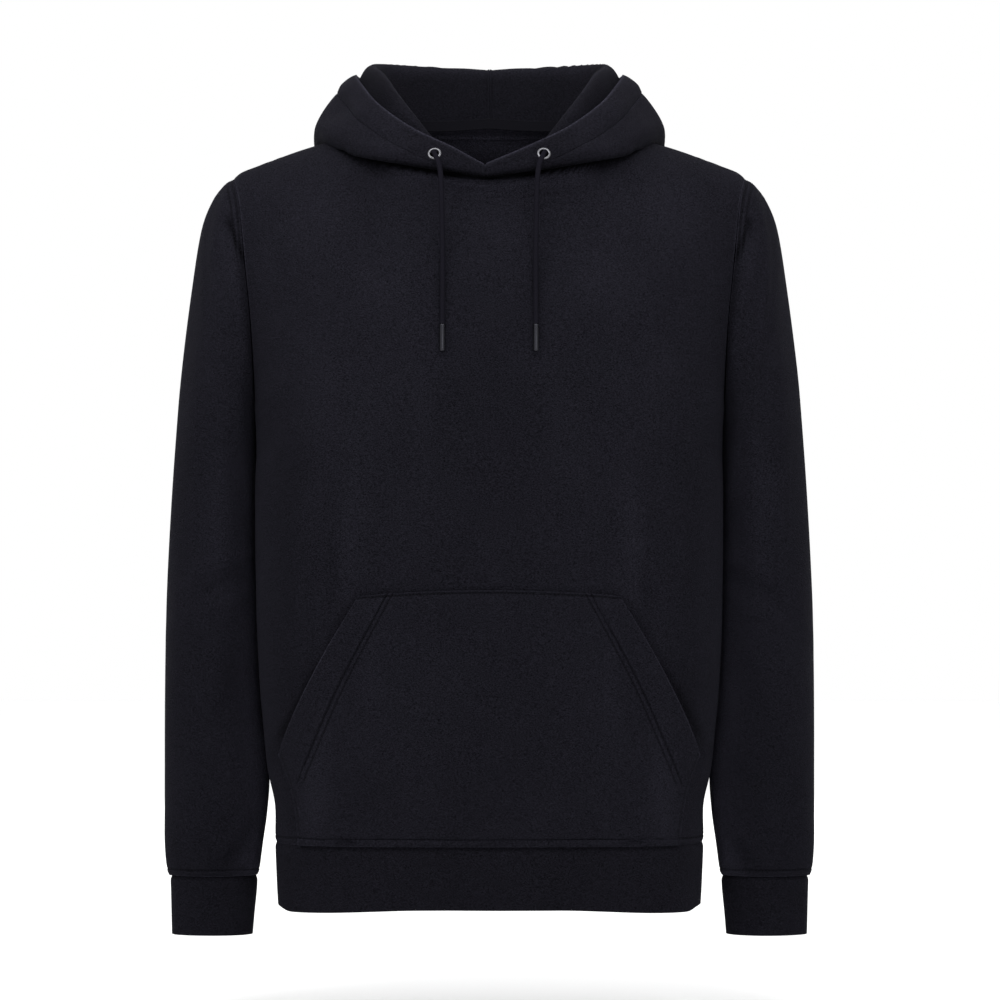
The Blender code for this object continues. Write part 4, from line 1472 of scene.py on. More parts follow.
HEM_EDGE = (-0.3 * MM, 1.4 * MM)     # of the hem's step
HEM_FOOT = 22 * MM             # below the opening, where the hem runs out
HEM_SLANT = 0.8                # of the opening's slope, for the hem below it
HEM_CLEAR = 3.2 * MM
TWIN_GROOVE_FROM = (5.6 * MM, 9 * MM)      # hem widths over which its channels set in
TWIN_STITCH_FROM = 6 * MM
SIDE_STITCH_END = (-1 * MM, 5 * MM)        # past the foot of the opening
SIDE_STITCH_PULL = 0.3         # of the other channels' depth
POCKET_FADE = 12 * MM
POCKET_FOLD_LOW = -0.35 * MM   # no trough goes deeper
OPENING_GLOW = (0.15, 0.55)    # painted highlight along the sewn edges, and more where it stands open
POCKET_FOLDS = [
    (-92, -448, -120, -560, 17, 0.9),
    (96, -446, 122, -566, 17, 0.9),
    (-150, -604, -128, -648, 11, 1.5),
    (149, -600, 130, -648, 11, 1.5),
    (-138, -590, -96, -640, 13, -0.9),
    (136, -588, 98, -642, 13, -0.9),
    (-60, -470, -66, -640, 24, -0.7),
    (20, -455, 12, -640, 28, 0.8),
    (72, -480, 64, -640, 24, -0.6),
    (-112, -628, 108, -634, 9, -0.5),
]
# Painted highlights (+) and painted shade (-) on the pocket: x, z, half width, half height, amount
POCKET_PAINTED_PATCHES = [
    (-155, -618, 12, 34, 0.32),
    (156, -616, 12, 34, 0.30),
    (-148, -566, 9, 30, 0.16),
    (149, -564, 9, 30, 0.15),
    (-104, -500, 8, 40, 0.10),
    (106, -500, 8, 40, 0.10),
    (-60, -620, 20, 30, 0.07),
    (56, -626, 20, 28, 0.07),
    (0, -540, 44, 60, -0.06),
]


def pocket_side(z):
    """Half width of the pocket at a height."""
    if z >= POCKET_SIDE[1]:
        share = (z - POCKET_SIDE[1]) / (POCKET_TOP[1] - POCKET_SIDE[1])
        straight = POCKET_SIDE[0] + (POCKET_TOP[0] - POCKET_SIDE[0]) * share
        return straight + OPENING_BOW * math.sin(math.pi * min(share, 1.0))
    share = (z - POCKET_FOOT[1]) / (POCKET_SIDE[1] - POCKET_FOOT[1])
    return POCKET_FOOT[0] + (POCKET_SIDE[0] - POCKET_FOOT[0]) * share**2


def twin_stitch_x(z):
    """Inset line of the opening's hem: along the opening, then down to the sewn side."""
    slope = (POCKET_SIDE[0] - POCKET_TOP[0]) / (POCKET_SIDE[1] - POCKET_TOP[1])
    below = POCKET_SIDE[0] + (z - POCKET_SIDE[1]) * slope * HEM_SLANT
    guide = pocket_side(z) if z >= POCKET_SIDE[1] else below
    return min(guide - HEM_STITCHES[0], pocket_side(z) - EDGE_STITCH - HEM_CLEAR)


front_rows, front_normals = panels["front"]
lower_zs = [HEM_SEAM_Z + place for place in lower_places]
front_xs = [[point.x for point in row] for row in front_rows[:len(lower_zs)]]


def front_at(x, z):
    """Finished surface of the front panel's lower part at a place, with its normal."""
    i = min(max(bisect.bisect(lower_zs, z) - 1, 0), len(lower_zs) - 2)
    climb = (z - lower_zs[i]) / (lower_zs[i + 1] - lower_zs[i])
    found = []
    for row in (i, i + 1):
        j = min(max(bisect.bisect(front_xs[row], x) - 1, 0), len(front_xs[row]) - 2)
        share = (x - front_xs[row][j]) / (front_xs[row][j + 1] - front_xs[row][j])
        point = front_rows[row][j].lerp(front_rows[row][j + 1], share)
        normal = front_normals[row][j].lerp(front_normals[row][j + 1], share)
        found.append((point, normal))
    point = found[0][0].lerp(found[1][0], climb)
    return point, found[0][1].lerp(found[1][1], climb).normalized()


# Heights of the rows at the sides, up to the top edge
sewn_rise = POCKET_SIDE[1] - POCKET_FOOT[1]
pocket_zs = with_channels([STITCH_INSET], sewn_rise, POCKET_SIDE_ROWS[0])
POCKET_HEM_ROW = pocket_zs.index(STITCH_INSET)
pocket_zs = [POCKET_FOOT[1] + up for up in pocket_zs]
top_steps = sorted(with_channels([EDGE_STITCH], POCKET_TOP_EDGE, 1), reverse=True)
pocket_zs += spread(POCKET_SIDE[1], POCKET_TOP[1] - top_steps[0], POCKET_SIDE_ROWS[1])[:-1]
pocket_zs += [POCKET_TOP[1] - step for step in top_steps]
POCKET_TOP_ROW = len(pocket_zs) - len(top_steps) + top_steps.index(EDGE_STITCH)
side_steps = sorted({*EDGE_STEPS, EDGE_STITCH})


def pocket_columns(z):
    """Half widths of the columns at a height, from the side to the centre."""
    side, twin = pocket_side(z), twin_stitch_x(z)
    xs = [side - step for step in side_steps]
    xs += spread(xs[-1], twin + STITCH_CHANNEL * CHANNEL_CLEAR, POCKET_HEM_COLUMNS)
    for line in (0.0, HEM_STITCHES[1] - HEM_STITCHES[0]):
        xs += [twin - line - step * STITCH_CHANNEL for step in CHANNEL_STEPS]
    return xs + spread(xs[-1], 0.0, round(POCKET_SIDE[0] / POCKET_COLUMN_STEP))


def swell(share):
    """Rises from 0 and falls back to 0 over a span, with a full middle."""
    return math.sin(math.pi * share) ** 0.8


def pocket_place(i, x, side):
    """Height of a pocket point, how far it stands off and its painted light and shade, at row i and
    half width x.
    """
    z = pocket_zs[i]
    up = (z - POCKET_FOOT[1]) / (POCKET_TOP[1] - POCKET_FOOT[1])
    bow = POCKET_BOW * (1 - min(x / POCKET_TOP[0], 1.0) ** 2) * up**3
    from_side, from_top, from_foot = side - x, POCKET_TOP[1] - z, z - POCKET_FOOT[1]
    opening = (z - POCKET_SIDE[1]) / (POCKET_TOP[1] - POCKET_SIDE[1])
    height = POCKET_LIFT
    open_here = 0.0
    if opening > 0:
        open_here = swell(opening)
        height += OPENING_STAND * open_here * hump(from_side, OPENING_REACH)
    twin = side - twin_stitch_x(z)
    hem = smooth(twin - from_side, *HEM_EDGE)
    height += HEM_RAISE * hem * smooth(z, POCKET_SIDE[1] - HEM_FOOT, POCKET_SIDE[1])
    twin_depth = POCKET_STITCH_DEPTH * smooth(twin, *TWIN_GROOVE_FROM)
    groove = 0.0
    for line in (0.0, HEM_STITCHES[1] - HEM_STITCHES[0]):
        groove += channel(from_side, twin + line, depth=twin_depth)
    sewn = 1 - smooth(z, *(POCKET_SIDE[1] + end for end in SIDE_STITCH_END))
    groove += channel(from_side, EDGE_STITCH, depth=SIDE_STITCH_PULL * POCKET_STITCH_DEPTH * sewn)
    groove += channel(from_top, EDGE_STITCH, depth=POCKET_STITCH_DEPTH)
    groove += channel(from_foot, STITCH_INSET, depth=POCKET_STITCH_DEPTH)
    glow = OPENING_GLOW[0] + OPENING_GLOW[1] * open_here
    return z + bow, height + groove, painted_seam_shading(min(from_side, from_top), groove, glow)


pocket_rows, pocket_shades = [], []
for i, z in enumerate(pocket_zs):
    half = [(x, *pocket_place(i, x, pocket_side(z))) for x in pocket_columns(z)]
    row, shades = [], []
    for x, height_z, height, shade in [(-x, *rest) for x, *rest in half] + half[-2::-1]:
        point, normal = front_at(x, height_z)
        from_edge = min(pocket_side(z) - abs(x), POCKET_TOP[1] - z, z - POCKET_FOOT[1])
        fold = fold_height(POCKET_FOLDS, x / MM, height_z / MM) * smooth(from_edge, 0, POCKET_FADE)
        row.append(point + normal * (height + max(fold, POCKET_FOLD_LOW) + POCKET_WALL))
        shades.append(shade + painted_shading_by(POCKET_PAINTED_PATCHES, x / MM, height_z / MM))
    pocket_rows.append(row)
    pocket_shades.append(shades)
pocket = piece("kangaroo_pocket", pocket_rows, fleece)
set_painted_shading(pocket, pocket_shades)
add_wall(pocket, POCKET_WALL, PANEL_RIM)
fasten(pocket, "pocket")

pocket_normals = surface_normals(pocket_rows)
last = len(pocket_rows[0]) - 1
side_row = pocket_zs.index(POCKET_SIDE[1])
edge_column = side_steps.index(EDGE_STITCH)
twin_column = len(side_steps) + POCKET_HEM_COLUMNS + CHANNEL_STEPS.index(0.0)
runs = [row_at(pocket_rows, pocket_normals, POCKET_HEM_ROW, 2, last - 1)]
runs.append(row_at(pocket_rows, pocket_normals, POCKET_TOP_ROW, 2, last - 1))
# The twin rows start where the hem is wide enough to hold them
hem_widths = [pocket_side(z) - twin_stitch_x(z) for z in pocket_zs]
twin_first = next(i for i, width in enumerate(hem_widths) if width > TWIN_STITCH_FROM)
for column in (edge_column, twin_column, twin_column + len(CHANNEL_STEPS)):
    first, end = (2, side_row + 1) if column == edge_column else (twin_first, len(pocket_zs) - 1)
    for place in (column, last - column):
        path = [row[place] for row in pocket_rows[first:end]]
        runs.append((path, [row[place] for row in pocket_normals[first:end]]))
stitched("pocket_stitching", runs)


# ---- Hood -----------------------------------------------------------------------------
# Two fleece panels joined by a seam over the head and sewn to the neckline. The hood
# rises, folds over at its crest and lies behind and beside the neck. The turned hem of its
# face edge is the drawcord's casing.

# From the front of the neck (station 0) past the shoulder (0.5) to the back (1):
# station, x, y, z
HOOD_CREST = [
    (0.000, 0, -103, -57),
    (0.125, 38, -96, -39),
    (0.250, 68.7, -74, -2),
    (0.375, 85, -44, 21),
    (0.500, 95, -8, 38.5),
    (0.625, 106, 38, 50),
    (0.750, 101, 73, 54.5),
    (0.875, 62, 93, 54),
    (1.000, 0, 105, 51.5),
]
HOOD_BOTTOM = [
    (0.000, 0, -113.5, -60.2),
    (0.125, 42, -111, -56.5),
    (0.250, 86, -97, -48.5),
    (0.375, 121, -66, -38.5),
    (0.500, 146, -22, -27),
    (0.625, 154, 28, -24),
    (0.750, 146, 95, -80),
    (0.875, 94, 126, -165),
    (1.000, 0, 134, -200),
]
HOOD_OUTER = [
    (0.000, 0, -116, -57),
    (0.125, 40, -114.5, -51.5),
    (0.250, 84, -101, -40),
    (0.375, 121, -71, -27),
    (0.500, 147, -26, -13.5),
    (0.625, 158.5, 25, -13),
    (0.750, 152, 112, -56),
    (0.875, 98, 157, -118),
    (1.000, 0, 170, -130),
]
HOOD_UPPER = [
    (0.000, 0, -115, -54),
    (0.125, 36.5, -112, -44.5),
    (0.250, 76, -99, -32),
    (0.375, 110, -66, -10),
    (0.500, 130, -24, 6.5),
    (0.625, 141.5, 25, 19.5),
    (0.750, 136, 88, 10),
    (0.875, 92, 142, -2),
    (1.000, 0, 160, -8),
]
HOOD_EDGE = [
    (0.000, 0, -112, -51.2),
    (0.125, 32.4, -106, -34.8),
    (0.250, 68.2, -91, -16.6),
    (0.375, 98, -61, 6),
    (0.500, 113.5, -24, 26),
    (0.625, 121, 25, 39.5),
    (0.750, 114, 73, 38.5),
    (0.875, 76, 118, 31),
    (1.000, 0, 137, 26),
]
HOOD_WALL = 2.4 * MM
HOOD_STAND_RISE = (1.5 * MM, 6 * MM)     # straight part above the neck seam, front and side
HOOD_STAND_FULL_STATION = 0.3
CREST_RADIUS = 6 * MM
CREST_SINK = 0.35
CREST_SHARE = 0.3              # most of the distance to a neighbour that the rounding takes
HOOD_CLEARANCE = 3.4 * MM
HOOD_SPAN_STEPS = (2, 10, 3, 3, 12, 12, 8, 10, 12)     # neck seam to face edge
CREST_SPAN = 3                 # spans up to the crest
OUTER_SPAN = 6                 # spans up to the outer bottom
HOOD_STATIONS = 104
HOOD_SEAM_GAP = 0.05 * MM
HOOD_RIM = 1.1 * MM
HOOD_ROUND = 330               # millimetres round the neck from front to back, for the folds
CASING_WIDTH = 23 * MM
CASING_CLEAR = 1.5 * MM        # it ends above the hood's lower edge
CASING_WALL = 4.8 * MM         # two layers with the cord between them
CASING_RAISE = 0.4 * MM
CASING_PUFF = 2.0 * MM         # how far it bulges, full from the shoulder back
CASING_PUFF_FROM = (0.2, 0.5)  # stations
CASING_STEP = (-1 * MM, 0.6 * MM)         # across the casing's stitches
CASING_THIN_FROM = 4 * MM      # its wall grows to full over this way from the edge
CASING_EDGE_SHARE = 0.55       # of the full wall at the edge
CASING_THIN_TO = (-8 * MM, -1 * MM)       # and thins again towards its stitches
# Folds die out over these ways from the face edge, the neck seam and the centre seam
HOOD_EDGE_FADE = 10 * MM
HOOD_NECK_FADE = (10 * MM, 50 * MM)
HOOD_CENTRE_FADE = 14 * MM
HOOD_SEAM_DIP = (0.9 * MM, 1.6 * MM)      # depth and width at the centre seam
THROAT_CROSS = 4 * MM          # one side laps over the other where they meet in front
THROAT_REACH = 0.14
SIDE_TUCK = (2.6 * MM, -5.8 * MM)         # in and down, where the folded side rests
SIDE_TUCK_STATIONS = ((0.395, 0.48), (0.54, 0.64))
FRONT_TUCK = 2.3 * MM          # up, under the front
FRONT_TUCK_STATIONS = ((0.02, 0.1), (0.3, 0.42))
TUCK_WIDTH = 9 * MM
# Painted highlights on the hood's face edge and crest, and painted shade on its front, inside it
# and where it turns under
HOOD_EDGE_GLOW = 1.5
EDGE_REACH = 2.6 * MM
CREST_GLOW = 0.55
CREST_GLOW_WIDTH = 2.2 * MM
UNDER_SHADE = -0.7             # where the hood's lower edge turns under
UNDER_FROM = (-5 * MM, 0.0)    # places from the lowest point between which it sets in
UNDER_TO = (8 * MM, 14 * MM)
HOOD_FRONT_SHADE = -0.3
FRONT_SHADE_TO = (0.16, 0.32)  # stations
FRONT_SHADE_FROM_EDGE = (2 * MM, 5 * MM)
INSIDE_SHADE = -0.42           # of the hood's inner face up to its crest
INSIDE_REACH = (50 * MM, 70 * MM)         # up from the neck seam
INSIDE_REACH_AT_SIDES = (84 * MM, 106 * MM)
INSIDE_FROM = (0.15, 0.4)      # stations
SIDE_STATIONS = ((0.2, 0.3), (0.68, 0.8))
CASING_ROWS = 9
HOOD_BODY_ROWS = 84
EYELET_STATION = 0.165
EYELET_FLAT = (7.2 * MM, 11.5 * MM)     # the cloth is flat inside the first radius
EYELET_NEAR = 1.5              # of the second radius, for points that may be flattened
EYELET_DEPTH = 6 * MM          # other layers are further from the eyelet's plane

# Folds on the left and right half, as millimetres round the neck from the front and
# millimetres in from the face edge, for both ends; width, height
HOOD_FOLDS = {
    "left": [
        (64, -10, 118, -60, 10, 1.1),
        (84, -14, 150, -58, 9, -0.9),
        (126, -4, 168, -52, 11, 1.2),
        (150, -30, 196, -86, 12, -1.0),
        (184, -6, 206, -74, 13, 1.3),
        (222, -16, 238, -120, 15, -1.1),
        (250, -30, 262, -150, 16, 1.4),
        (286, -50, 292, -170, 17, -1.2),
        (312, -64, 316, -150, 13, 1.0),
        (196, -120, 268, -176, 12, 1.1),
        (96, -86, 140, -118, 10, 0.8),
        (158, -150, 210, -196, 12, 1.0),
        (236, -190, 300, -220, 13, -1.0),
    ],
    "right": [
        (60, -8, 112, -56, 10, 1.1),
        (88, -16, 146, -62, 9, -0.9),
        (120, -6, 172, -56, 11, 1.2),
        (156, -28, 192, -80, 12, -1.0),
        (180, -8, 210, -70, 13, 1.2),
        (226, -18, 242, -112, 15, -1.1),
        (256, -26, 258, -144, 16, 1.3),
        (282, -46, 296, -164, 17, -1.2),
        (308, -70, 312, -156, 13, 1.0),
        (190, -126, 262, -170, 12, 1.1),
        (100, -84, 136, -120, 10, 0.8),
        (162, -146, 206, -200, 12, 1.0),
        (232, -186, 296, -224, 13, -1.0),
    ],
}


def between(value, rise, fall):
    """1 between an eased rise and an eased fall, 0 outside."""
    return smooth(value, *rise) * (1 - smooth(value, *fall))


def hood_ring(table, station):
    return Vector([hermite(table, station, column) * MM for column in (1, 2, 3)])


def hood_neck(station):
    """Neck seam point under a station of the hood."""
    if station <= 0.5:
        point = neckline(1 - station * 2, False)
    else:
        point = neckline(station * 2 - 1, True)
    inward = Vector((-point.x, -point.y, 0)).normalized() * FLEECE_WALL / 2
    return point + inward + Vector((0, 0, 1.5 * SEAM_GAP))


def rounded_crest(stand, crest, fall):
    """The crest and a point on each side of it, so that the fold has a radius."""
    before, after = stand - crest, fall - crest
    radius = min(CREST_RADIUS, before.length * CREST_SHARE, after.length * CREST_SHARE)
    before.normalize()
    after.normalize()
    along = (after - before).normalized() * radius
    sink = (after + before) * radius * CREST_SINK
    return crest - along + sink, crest, crest + along + sink


def clear_of_body(point):
    """Lifts a point of the hood off the body where it would sink into it."""
    back = point.y > 0
    room = HOOD_WALL / 2 + HOOD_CLEARANCE
    depth = body_depth(point.x, point.z - room, back) + room
    if abs(point.y) >= depth or point.z - room >= shoulder_z(point.x):
        return point
    full = body_depth(point.x, shoulder_z(point.x) - FRONT_ROLL, back) + room
    roll = BACK_ROLL if back else FRONT_ROLL
    below = 1 - math.sqrt(max(1 - (point.y / full) ** 2, 0))
    top = shoulder_z(point.x) - roll * below + room
    if top - point.z < depth - abs(point.y):
        return Vector((point.x, point.y, top))
    return Vector((point.x, depth if back else -depth, point.z))


def hood_profile(station):
    """Cross-section from the neck seam to the face edge."""
    neck = hood_neck(station)
    share = min(station / HOOD_STAND_FULL_STATION, 1)
    rise = HOOD_STAND_RISE[0] + (HOOD_STAND_RISE[1] - HOOD_STAND_RISE[0]) * share
    crest = hood_ring(HOOD_CREST, station)
    bottom = hood_ring(HOOD_BOTTOM, station)
    stand = neck + Vector((0, 0, rise))
    fall = clear_of_body(crest.lerp(bottom, 0.5))
    guides = [neck, stand, *rounded_crest(stand, crest, fall), fall, clear_of_body(bottom)]
    guides += [hood_ring(t, station) for t in (HOOD_OUTER, HOOD_UPPER, HOOD_EDGE)]
    points = curve(guides, HOOD_SPAN_STEPS)
    crest_row = sum(HOOD_SPAN_STEPS[:CREST_SPAN])
    return points[:crest_row] + [clear_of_body(point) for point in points[crest_row:]]


def hood_column(station):
    """Points from face edge to neck seam, their places along it, and the casing's width."""
    profile = hood_profile(station)[::-1]
    bottom_row = sum(HOOD_SPAN_STEPS[OUTER_SPAN:])
    casing = min(CASING_WIDTH, length_of(profile[:bottom_row + 1]) - CASING_CLEAR)
    places = list(EDGE_STEPS)
    places += spread(places[-1], casing - CHANNEL_CLEAR * STITCH_CHANNEL, CASING_ROWS)
    places += [casing + step * STITCH_CHANNEL for step in CHANNEL_STEPS]
    places += spread(places[-1], length_of(profile), HOOD_BODY_ROWS)
    return at_distances(profile, places), places, casing


def eyelet_seat():
    """Middle of the left eyelet on the casing and the direction that it faces."""
    upper = hood_ring(HOOD_UPPER, EYELET_STATION)
    edge = hood_ring(HOOD_EDGE, EYELET_STATION)
    ahead = hood_ring(HOOD_EDGE, EYELET_STATION + 0.05) - edge
    facing = ahead.cross(edge - upper).normalized()
    return upper, -facing if facing.y > 0 else facing


def crest_of(points, places, casing):
    """Index of the highest point of a strip past its casing."""
    return max(range(len(points)), key=lambda k: points[k].z if places[k] > casing else -1)


def lowest_outside(points, places):
    """Index of the lowest point of a strip's outer layer, between its edge and its crest."""
    crest = crest_of(points, places, CASING_WIDTH)
    return min(range(crest + 1), key=lambda k: points[k].z)


def hood_shades(column, station):
    """Painted light and shade of a strip: a painted highlight at its edge and crest, painted shade
    inside, on its front and where it turns under.
    """
    points, places, casing = column
    crest = places[crest_of(points, places, casing)]
    lowest = places[lowest_outside(points, places)]
    sides = between(station, *SIDE_STATIONS)
    front = 1 - smooth(station, *FRONT_SHADE_TO)
    shades = []
    for place in places:
        from_seam = places[-1] - place
        inside = 1 - smooth(from_seam, *INSIDE_REACH)
        inside += sides * (1 - smooth(from_seam, *INSIDE_REACH_AT_SIDES) - inside)
        shade = painted_seam_shading(place, channel(place, casing), HOOD_EDGE_GLOW, EDGE_REACH)
        shade += sides * CREST_GLOW * hump(place - crest, CREST_GLOW_WIDTH)
        shade += INSIDE_SHADE * inside * smooth(station, *INSIDE_FROM)
        shade += HOOD_FRONT_SHADE * front * smooth(place, *FRONT_SHADE_FROM_EDGE)
        shades.append(shade + UNDER_SHADE * between(place - lowest, UNDER_FROM, UNDER_TO))
    return shades


def rows_up(lines, side):
    """Rows from the neck seam up, columns anticlockwise seen from above, out of strips."""
    return [[line[k] for line in lines[::side]] for k in range(len(lines[0]) - 1, -1, -1)]


seat, seat_facing = eyelet_seat()
stations = [k / HOOD_STATIONS for k in range(HOOD_STATIONS + 1)]
columns = [hood_column(station) for station in stations]
# Flat strips beside the centre seams, so that the two halves meet squarely
for end in (0, -1):
    points, places, casing = columns[end]
    strips = []
    for step in EDGE_STEPS:
        aside = Vector((HOOD_SEAM_GAP / 2 + step, 0, 0))
        strips.append(([point + aside for point in points], places, casing))
    if end == 0:
        columns = strips + columns[1:]
        stations = [0.0] * (len(EDGE_STEPS) - 1) + stations
    else:
        columns = columns[:-1] + strips[::-1]
        stations = stations + [1.0] * (len(EDGE_STEPS) - 1)
CASING_ROW = len(EDGE_STEPS) + CASING_ROWS + CHANNEL_STEPS.index(0.0)
hood_height = len(columns[0][1])

for side_name, side in SIDES:
    mirror = Vector((side, 1, 1))
    heights = []
    for (points, places, casing), station in zip(columns, stations):
        found = []
        for point, place in zip(points, places):
            fade = smooth(place, 0, HOOD_EDGE_FADE)
            fade *= smooth(places[-1] - place, *HOOD_NECK_FADE)
            fade *= smooth(point.x, 0, HOOD_CENTRE_FADE)
            height = fold_height(HOOD_FOLDS[side_name], station * HOOD_ROUND, -place / MM) * fade
            height += CASING_RAISE * (1 - smooth(place - casing, *CASING_STEP))
            if place < casing:
                puff = CASING_PUFF * smooth(station, *CASING_PUFF_FROM)
                height += puff * swell(place / casing)
            height += channel(place, casing)
            height += seam_dip(point.x - HOOD_SEAM_GAP / 2, *HOOD_SEAM_DIP)
            found.append(height)
        heights.append(found)
    flat = []
    for points, _, _ in columns:
        line = []
        for point in points:
            if (point - seat).length < EYELET_NEAR * EYELET_FLAT[1]:
                off = (point - seat).dot(seat_facing)
                around = (point - seat - seat_facing * off).length
                near = 1 - smooth(around, *EYELET_FLAT)
                if abs(off) < EYELET_DEPTH:
                    point = point - seat_facing * off * near
            line.append(point * mirror)
        flat.append(line)
    for line, (points, places, _), station in zip(flat, columns, stations):
        crossed = THROAT_CROSS * (1 - smooth(station, 0, THROAT_REACH))
        lowest = places[lowest_outside(points, places)]
        inward, down = (size * between(station, *SIDE_TUCK_STATIONS) for size in SIDE_TUCK)
        rise = FRONT_TUCK * between(station, *FRONT_TUCK_STATIONS)
        for k, place in enumerate(places):
            tuck = Vector((-side * inward, 0, down + rise)) * hump(place - lowest, TUCK_WIDTH)
            line[k] = line[k] + tuck - Vector((crossed * (1 - place / places[-1]), 0, 0))
    rows = rows_up(flat, side)
    rows = lifted(rows, surface_normals(rows), rows_up(heights, side))
    name = side_name + "_hood_panel"
    hood = piece(name, rows, fleece)
    add_wall(hood, CASING_WALL, HOOD_RIM, 0.0)
    # The wall is thickest where the cord lies in the casing
    padding = hood.vertex_groups.new(name="casing")
    for j, (_, places, casing) in enumerate(columns[::side]):
        for k, place in enumerate(places):
            full = CASING_EDGE_SHARE + (1 - CASING_EDGE_SHARE) * smooth(place, 0, CASING_THIN_FROM)
            full *= 1 - smooth(place - casing, *CASING_THIN_TO)
            padding.add([(hood_height - 1 - k) * len(columns) + j], full, "REPLACE")
    hood.modifiers["wall"].vertex_group = "casing"
    hood.modifiers["wall"].thickness_vertex_group = HOOD_WALL / CASING_WALL
    set_painted_shading(hood, rows_up([hood_shades(*strip) for strip in zip(columns, stations)], side))
    fasten(hood, "hood_" + side_name)
    normals = surface_normals(rows)
    row = hood_height - 1 - CASING_ROW
    path = [p + n * HOOD_WALL / 2 for p, n in zip(rows[row], normals[row])]
    stitched(name + "_stitching", [(path[1:-1], normals[row][1:-1])])


# ---- Eyelets --------------------------------------------------------------------------
# Pressed metal rings set through the casing, one on each side of the throat.

EYELET_COLOUR = (0.13, 0.13, 0.14, 1)
# Radius and height above the cloth of a ring's section, in a closed loop
EYELET_PROFILE = [
    (3.9, 0.25),
    (3.95, 0.8),
    (4.2, 1.25),
    (4.6, 1.5),
    (5.1, 1.5),
    (5.7, 1.25),
    (6.1, 0.8),
    (6.2, 0.3),
    (6.0, 0.12),
    (4.4, 0.12),
]
EYELET_SIDES = 72

EYELET_SHADOW_COLOUR = (0.0006, 0.0006, 0.0008, 1)
HOLE_RADIUS = 3.9 * MM
EYELET_SETTLE = (0.8 * MM, 0.8 * MM)      # towards the middle and down
HOLE_HEIGHTS = (-0.2, 0.85)    # of the dark disc, a painted shadow, seen in the ring
HOLE_SIDES = 32
SAME_POINT = 1e-6              # the ring's first and last sections are joined

eyelet_metal = node_material("eyelet metal", EYELET_COLOUR, roughness=0.42, Metallic=1.0)
eyelet_shadow_material = node_material(
    "painted shadow in the eyelet", EYELET_SHADOW_COLOUR, roughness=1.0, Specular_IOR_Level=0.0
)
seat_up = seat + seat_facing * (CASING_WALL / 2 + CASING_RAISE)
for side_name, side in SIDES:
    facing = Vector((seat_facing.x * side, seat_facing.y, seat_facing.z))
    inward, down = EYELET_SETTLE
    middle = Vector(((seat_up.x - inward) * side, seat_up.y, seat_up.z - down))
    across = Vector((0, 0, 1)).cross(facing).normalized()
    over = facing.cross(across)
    rings = []
    for turn in angles(EYELET_SIDES):
        spoke = across * math.cos(turn) + over * math.sin(turn)
        rings.append([middle + (spoke * r + facing * h) * MM for r, h in EYELET_PROFILE])
    rings.append(rings[0])
    name = "eyelet_ring_" + side_name
    ring = grid_mesh(name, rings, closed=True)
    bm = bmesh.new()
    bm.from_mesh(ring)
    bmesh.ops.remove_doubles(bm, verts=bm.verts, dist=SAME_POINT)
    bmesh.ops.recalc_face_normals(bm, faces=bm.faces)
    bm.to_mesh(ring)
    bm.free()
    ring = link(name, ring, eyelet_metal)
    fasten(ring, "eyelet_" + side_name)
    # A dark disc in each ring: painted shadow where the casing's inside lies in shade
    ends = [middle + facing * height * MM for height in HOLE_HEIGHTS]
    rings = tube_rings(ends, lambda *_: HOLE_RADIUS, HOLE_SIDES)
    disc = piece("eyelet_painted_shadow_" + side_name, rings, eyelet_shadow_material, closed=True, caps=True)
    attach(disc, "root")


# ---- Neck tape --------------------------------------------------------------------------
# A flat woven tape that covers the seam inside the back of the neck, stitched along both
# edges.

TAPE_FIRST_STATION = 0.70
TAPE_BELOW = 2.8 * MM
TAPE_ABOVE = 7.2 * MM
TAPE_INSET = 2.6 * MM
TAPE_WALL = 1.0 * MM
TAPE_RIM = 0.3 * MM
TAPE_COLUMNS = 90
TAPE_ROWS = 10
TAPE_STITCH_ROWS = (1, 9)
TAPE_COLOUR = (0.0044, 0.0043, 0.0058, 1)

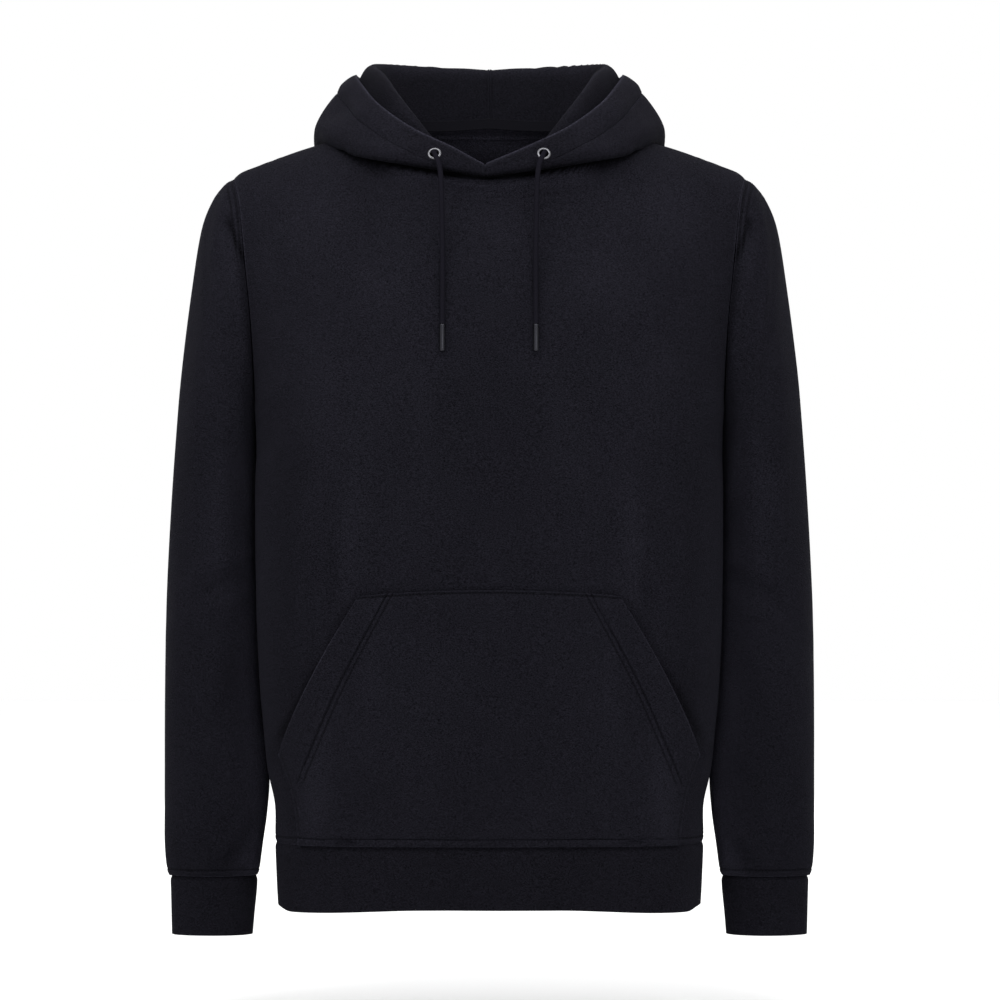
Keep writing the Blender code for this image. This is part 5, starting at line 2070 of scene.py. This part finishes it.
half = [hood_neck(at) for at in [TAPE_FIRST_STATION] + spread(TAPE_FIRST_STATION, 1, TAPE_COLUMNS)]
seam = half + [Vector((-p.x, p.y, p.z)) for p in half[-2::-1]]
rows = []
for k in range(TAPE_ROWS + 1):
    height = -TAPE_BELOW + (TAPE_BELOW + TAPE_ABOVE) * k / TAPE_ROWS
    row = []
    for point in seam:
        inward = Vector((-point.x, -point.y, 0)).normalized() * TAPE_INSET
        row.append(point + inward + Vector((0, 0, height)))
    rows.append(row)
woven = grouped_material(
    "neck tape", fibres, {"Colour": TAPE_COLOUR, "Speckle": 0.6},
    relief=0.1 * MM, roughness=0.75, Specular_IOR_Level=0.01,
)
tape = piece("back_neck_tape", rows, woven)
add_wall(tape, TAPE_WALL, TAPE_RIM, 0.0)
fasten(tape, "neck_tape")
normals = surface_normals(rows)
runs = []
for k in TAPE_STITCH_ROWS:
    path = [p - n * TAPE_WALL / 2 for p, n in zip(rows[k], normals[k])]
    runs.append((path[::-1], [-n for n in reversed(normals[k])]))
stitched("neck_tape_stitching", runs)


# ---- Floor and light ----------------------------------------------------------------
# A plain pale floor under the garment, in soft white light with a lamp high in front.

FLOOR_Z = -815 * MM
FLOOR_SIZE = 14
FLOOR_COLOUR = (0.985, 0.985, 0.985, 1)

ends = (-FLOOR_SIZE / 2, FLOOR_SIZE / 2)
rows = [[Vector((x, y, FLOOR_Z)) for x in ends] for y in ends]
floor = piece("floor", rows, node_material("floor paper", FLOOR_COLOUR, roughness=0.95))

world = bpy.data.worlds.new("studio")
bpy.context.scene.world = world
world.use_nodes = True
backdrop = world.node_tree.nodes["Background"]
backdrop.inputs["Color"].default_value = (1, 1, 1, 1)
backdrop.inputs["Strength"].default_value = 1.0
bpy.context.scene.view_settings.view_transform = "Standard"

# Name, place, point that it faces, width and height, power
LAMPS = [
    ("key", (-0.12, -0.75, 0.64), (0, -0.05, -0.25), (1.6, 0.35), 17),
    ("front", (0.2, -3.0, -0.3), (0, 0, -0.1), (1.6, 0.8), 14),
    ("back", (-0.3, 3.2, 0.1), (0, 0, -0.3), (1.8, 0.9), 12),
    ("floor", (0, 1.5, 2.6), (0, 1.5, -0.8), (3.0, 2.0), 26),
]
for name, place, aim, size, power in LAMPS:
    lamp = bpy.data.lights.new(name, "AREA")
    lamp.shape = "RECTANGLE"
    lamp.size, lamp.size_y = size
    lamp.energy = power
    light = bpy.data.objects.new(name, lamp)
    light.location = place
    light.rotation_euler = (Vector(aim) - Vector(place)).to_track_quat("-Z", "Y").to_euler()
    bpy.context.scene.collection.objects.link(light)
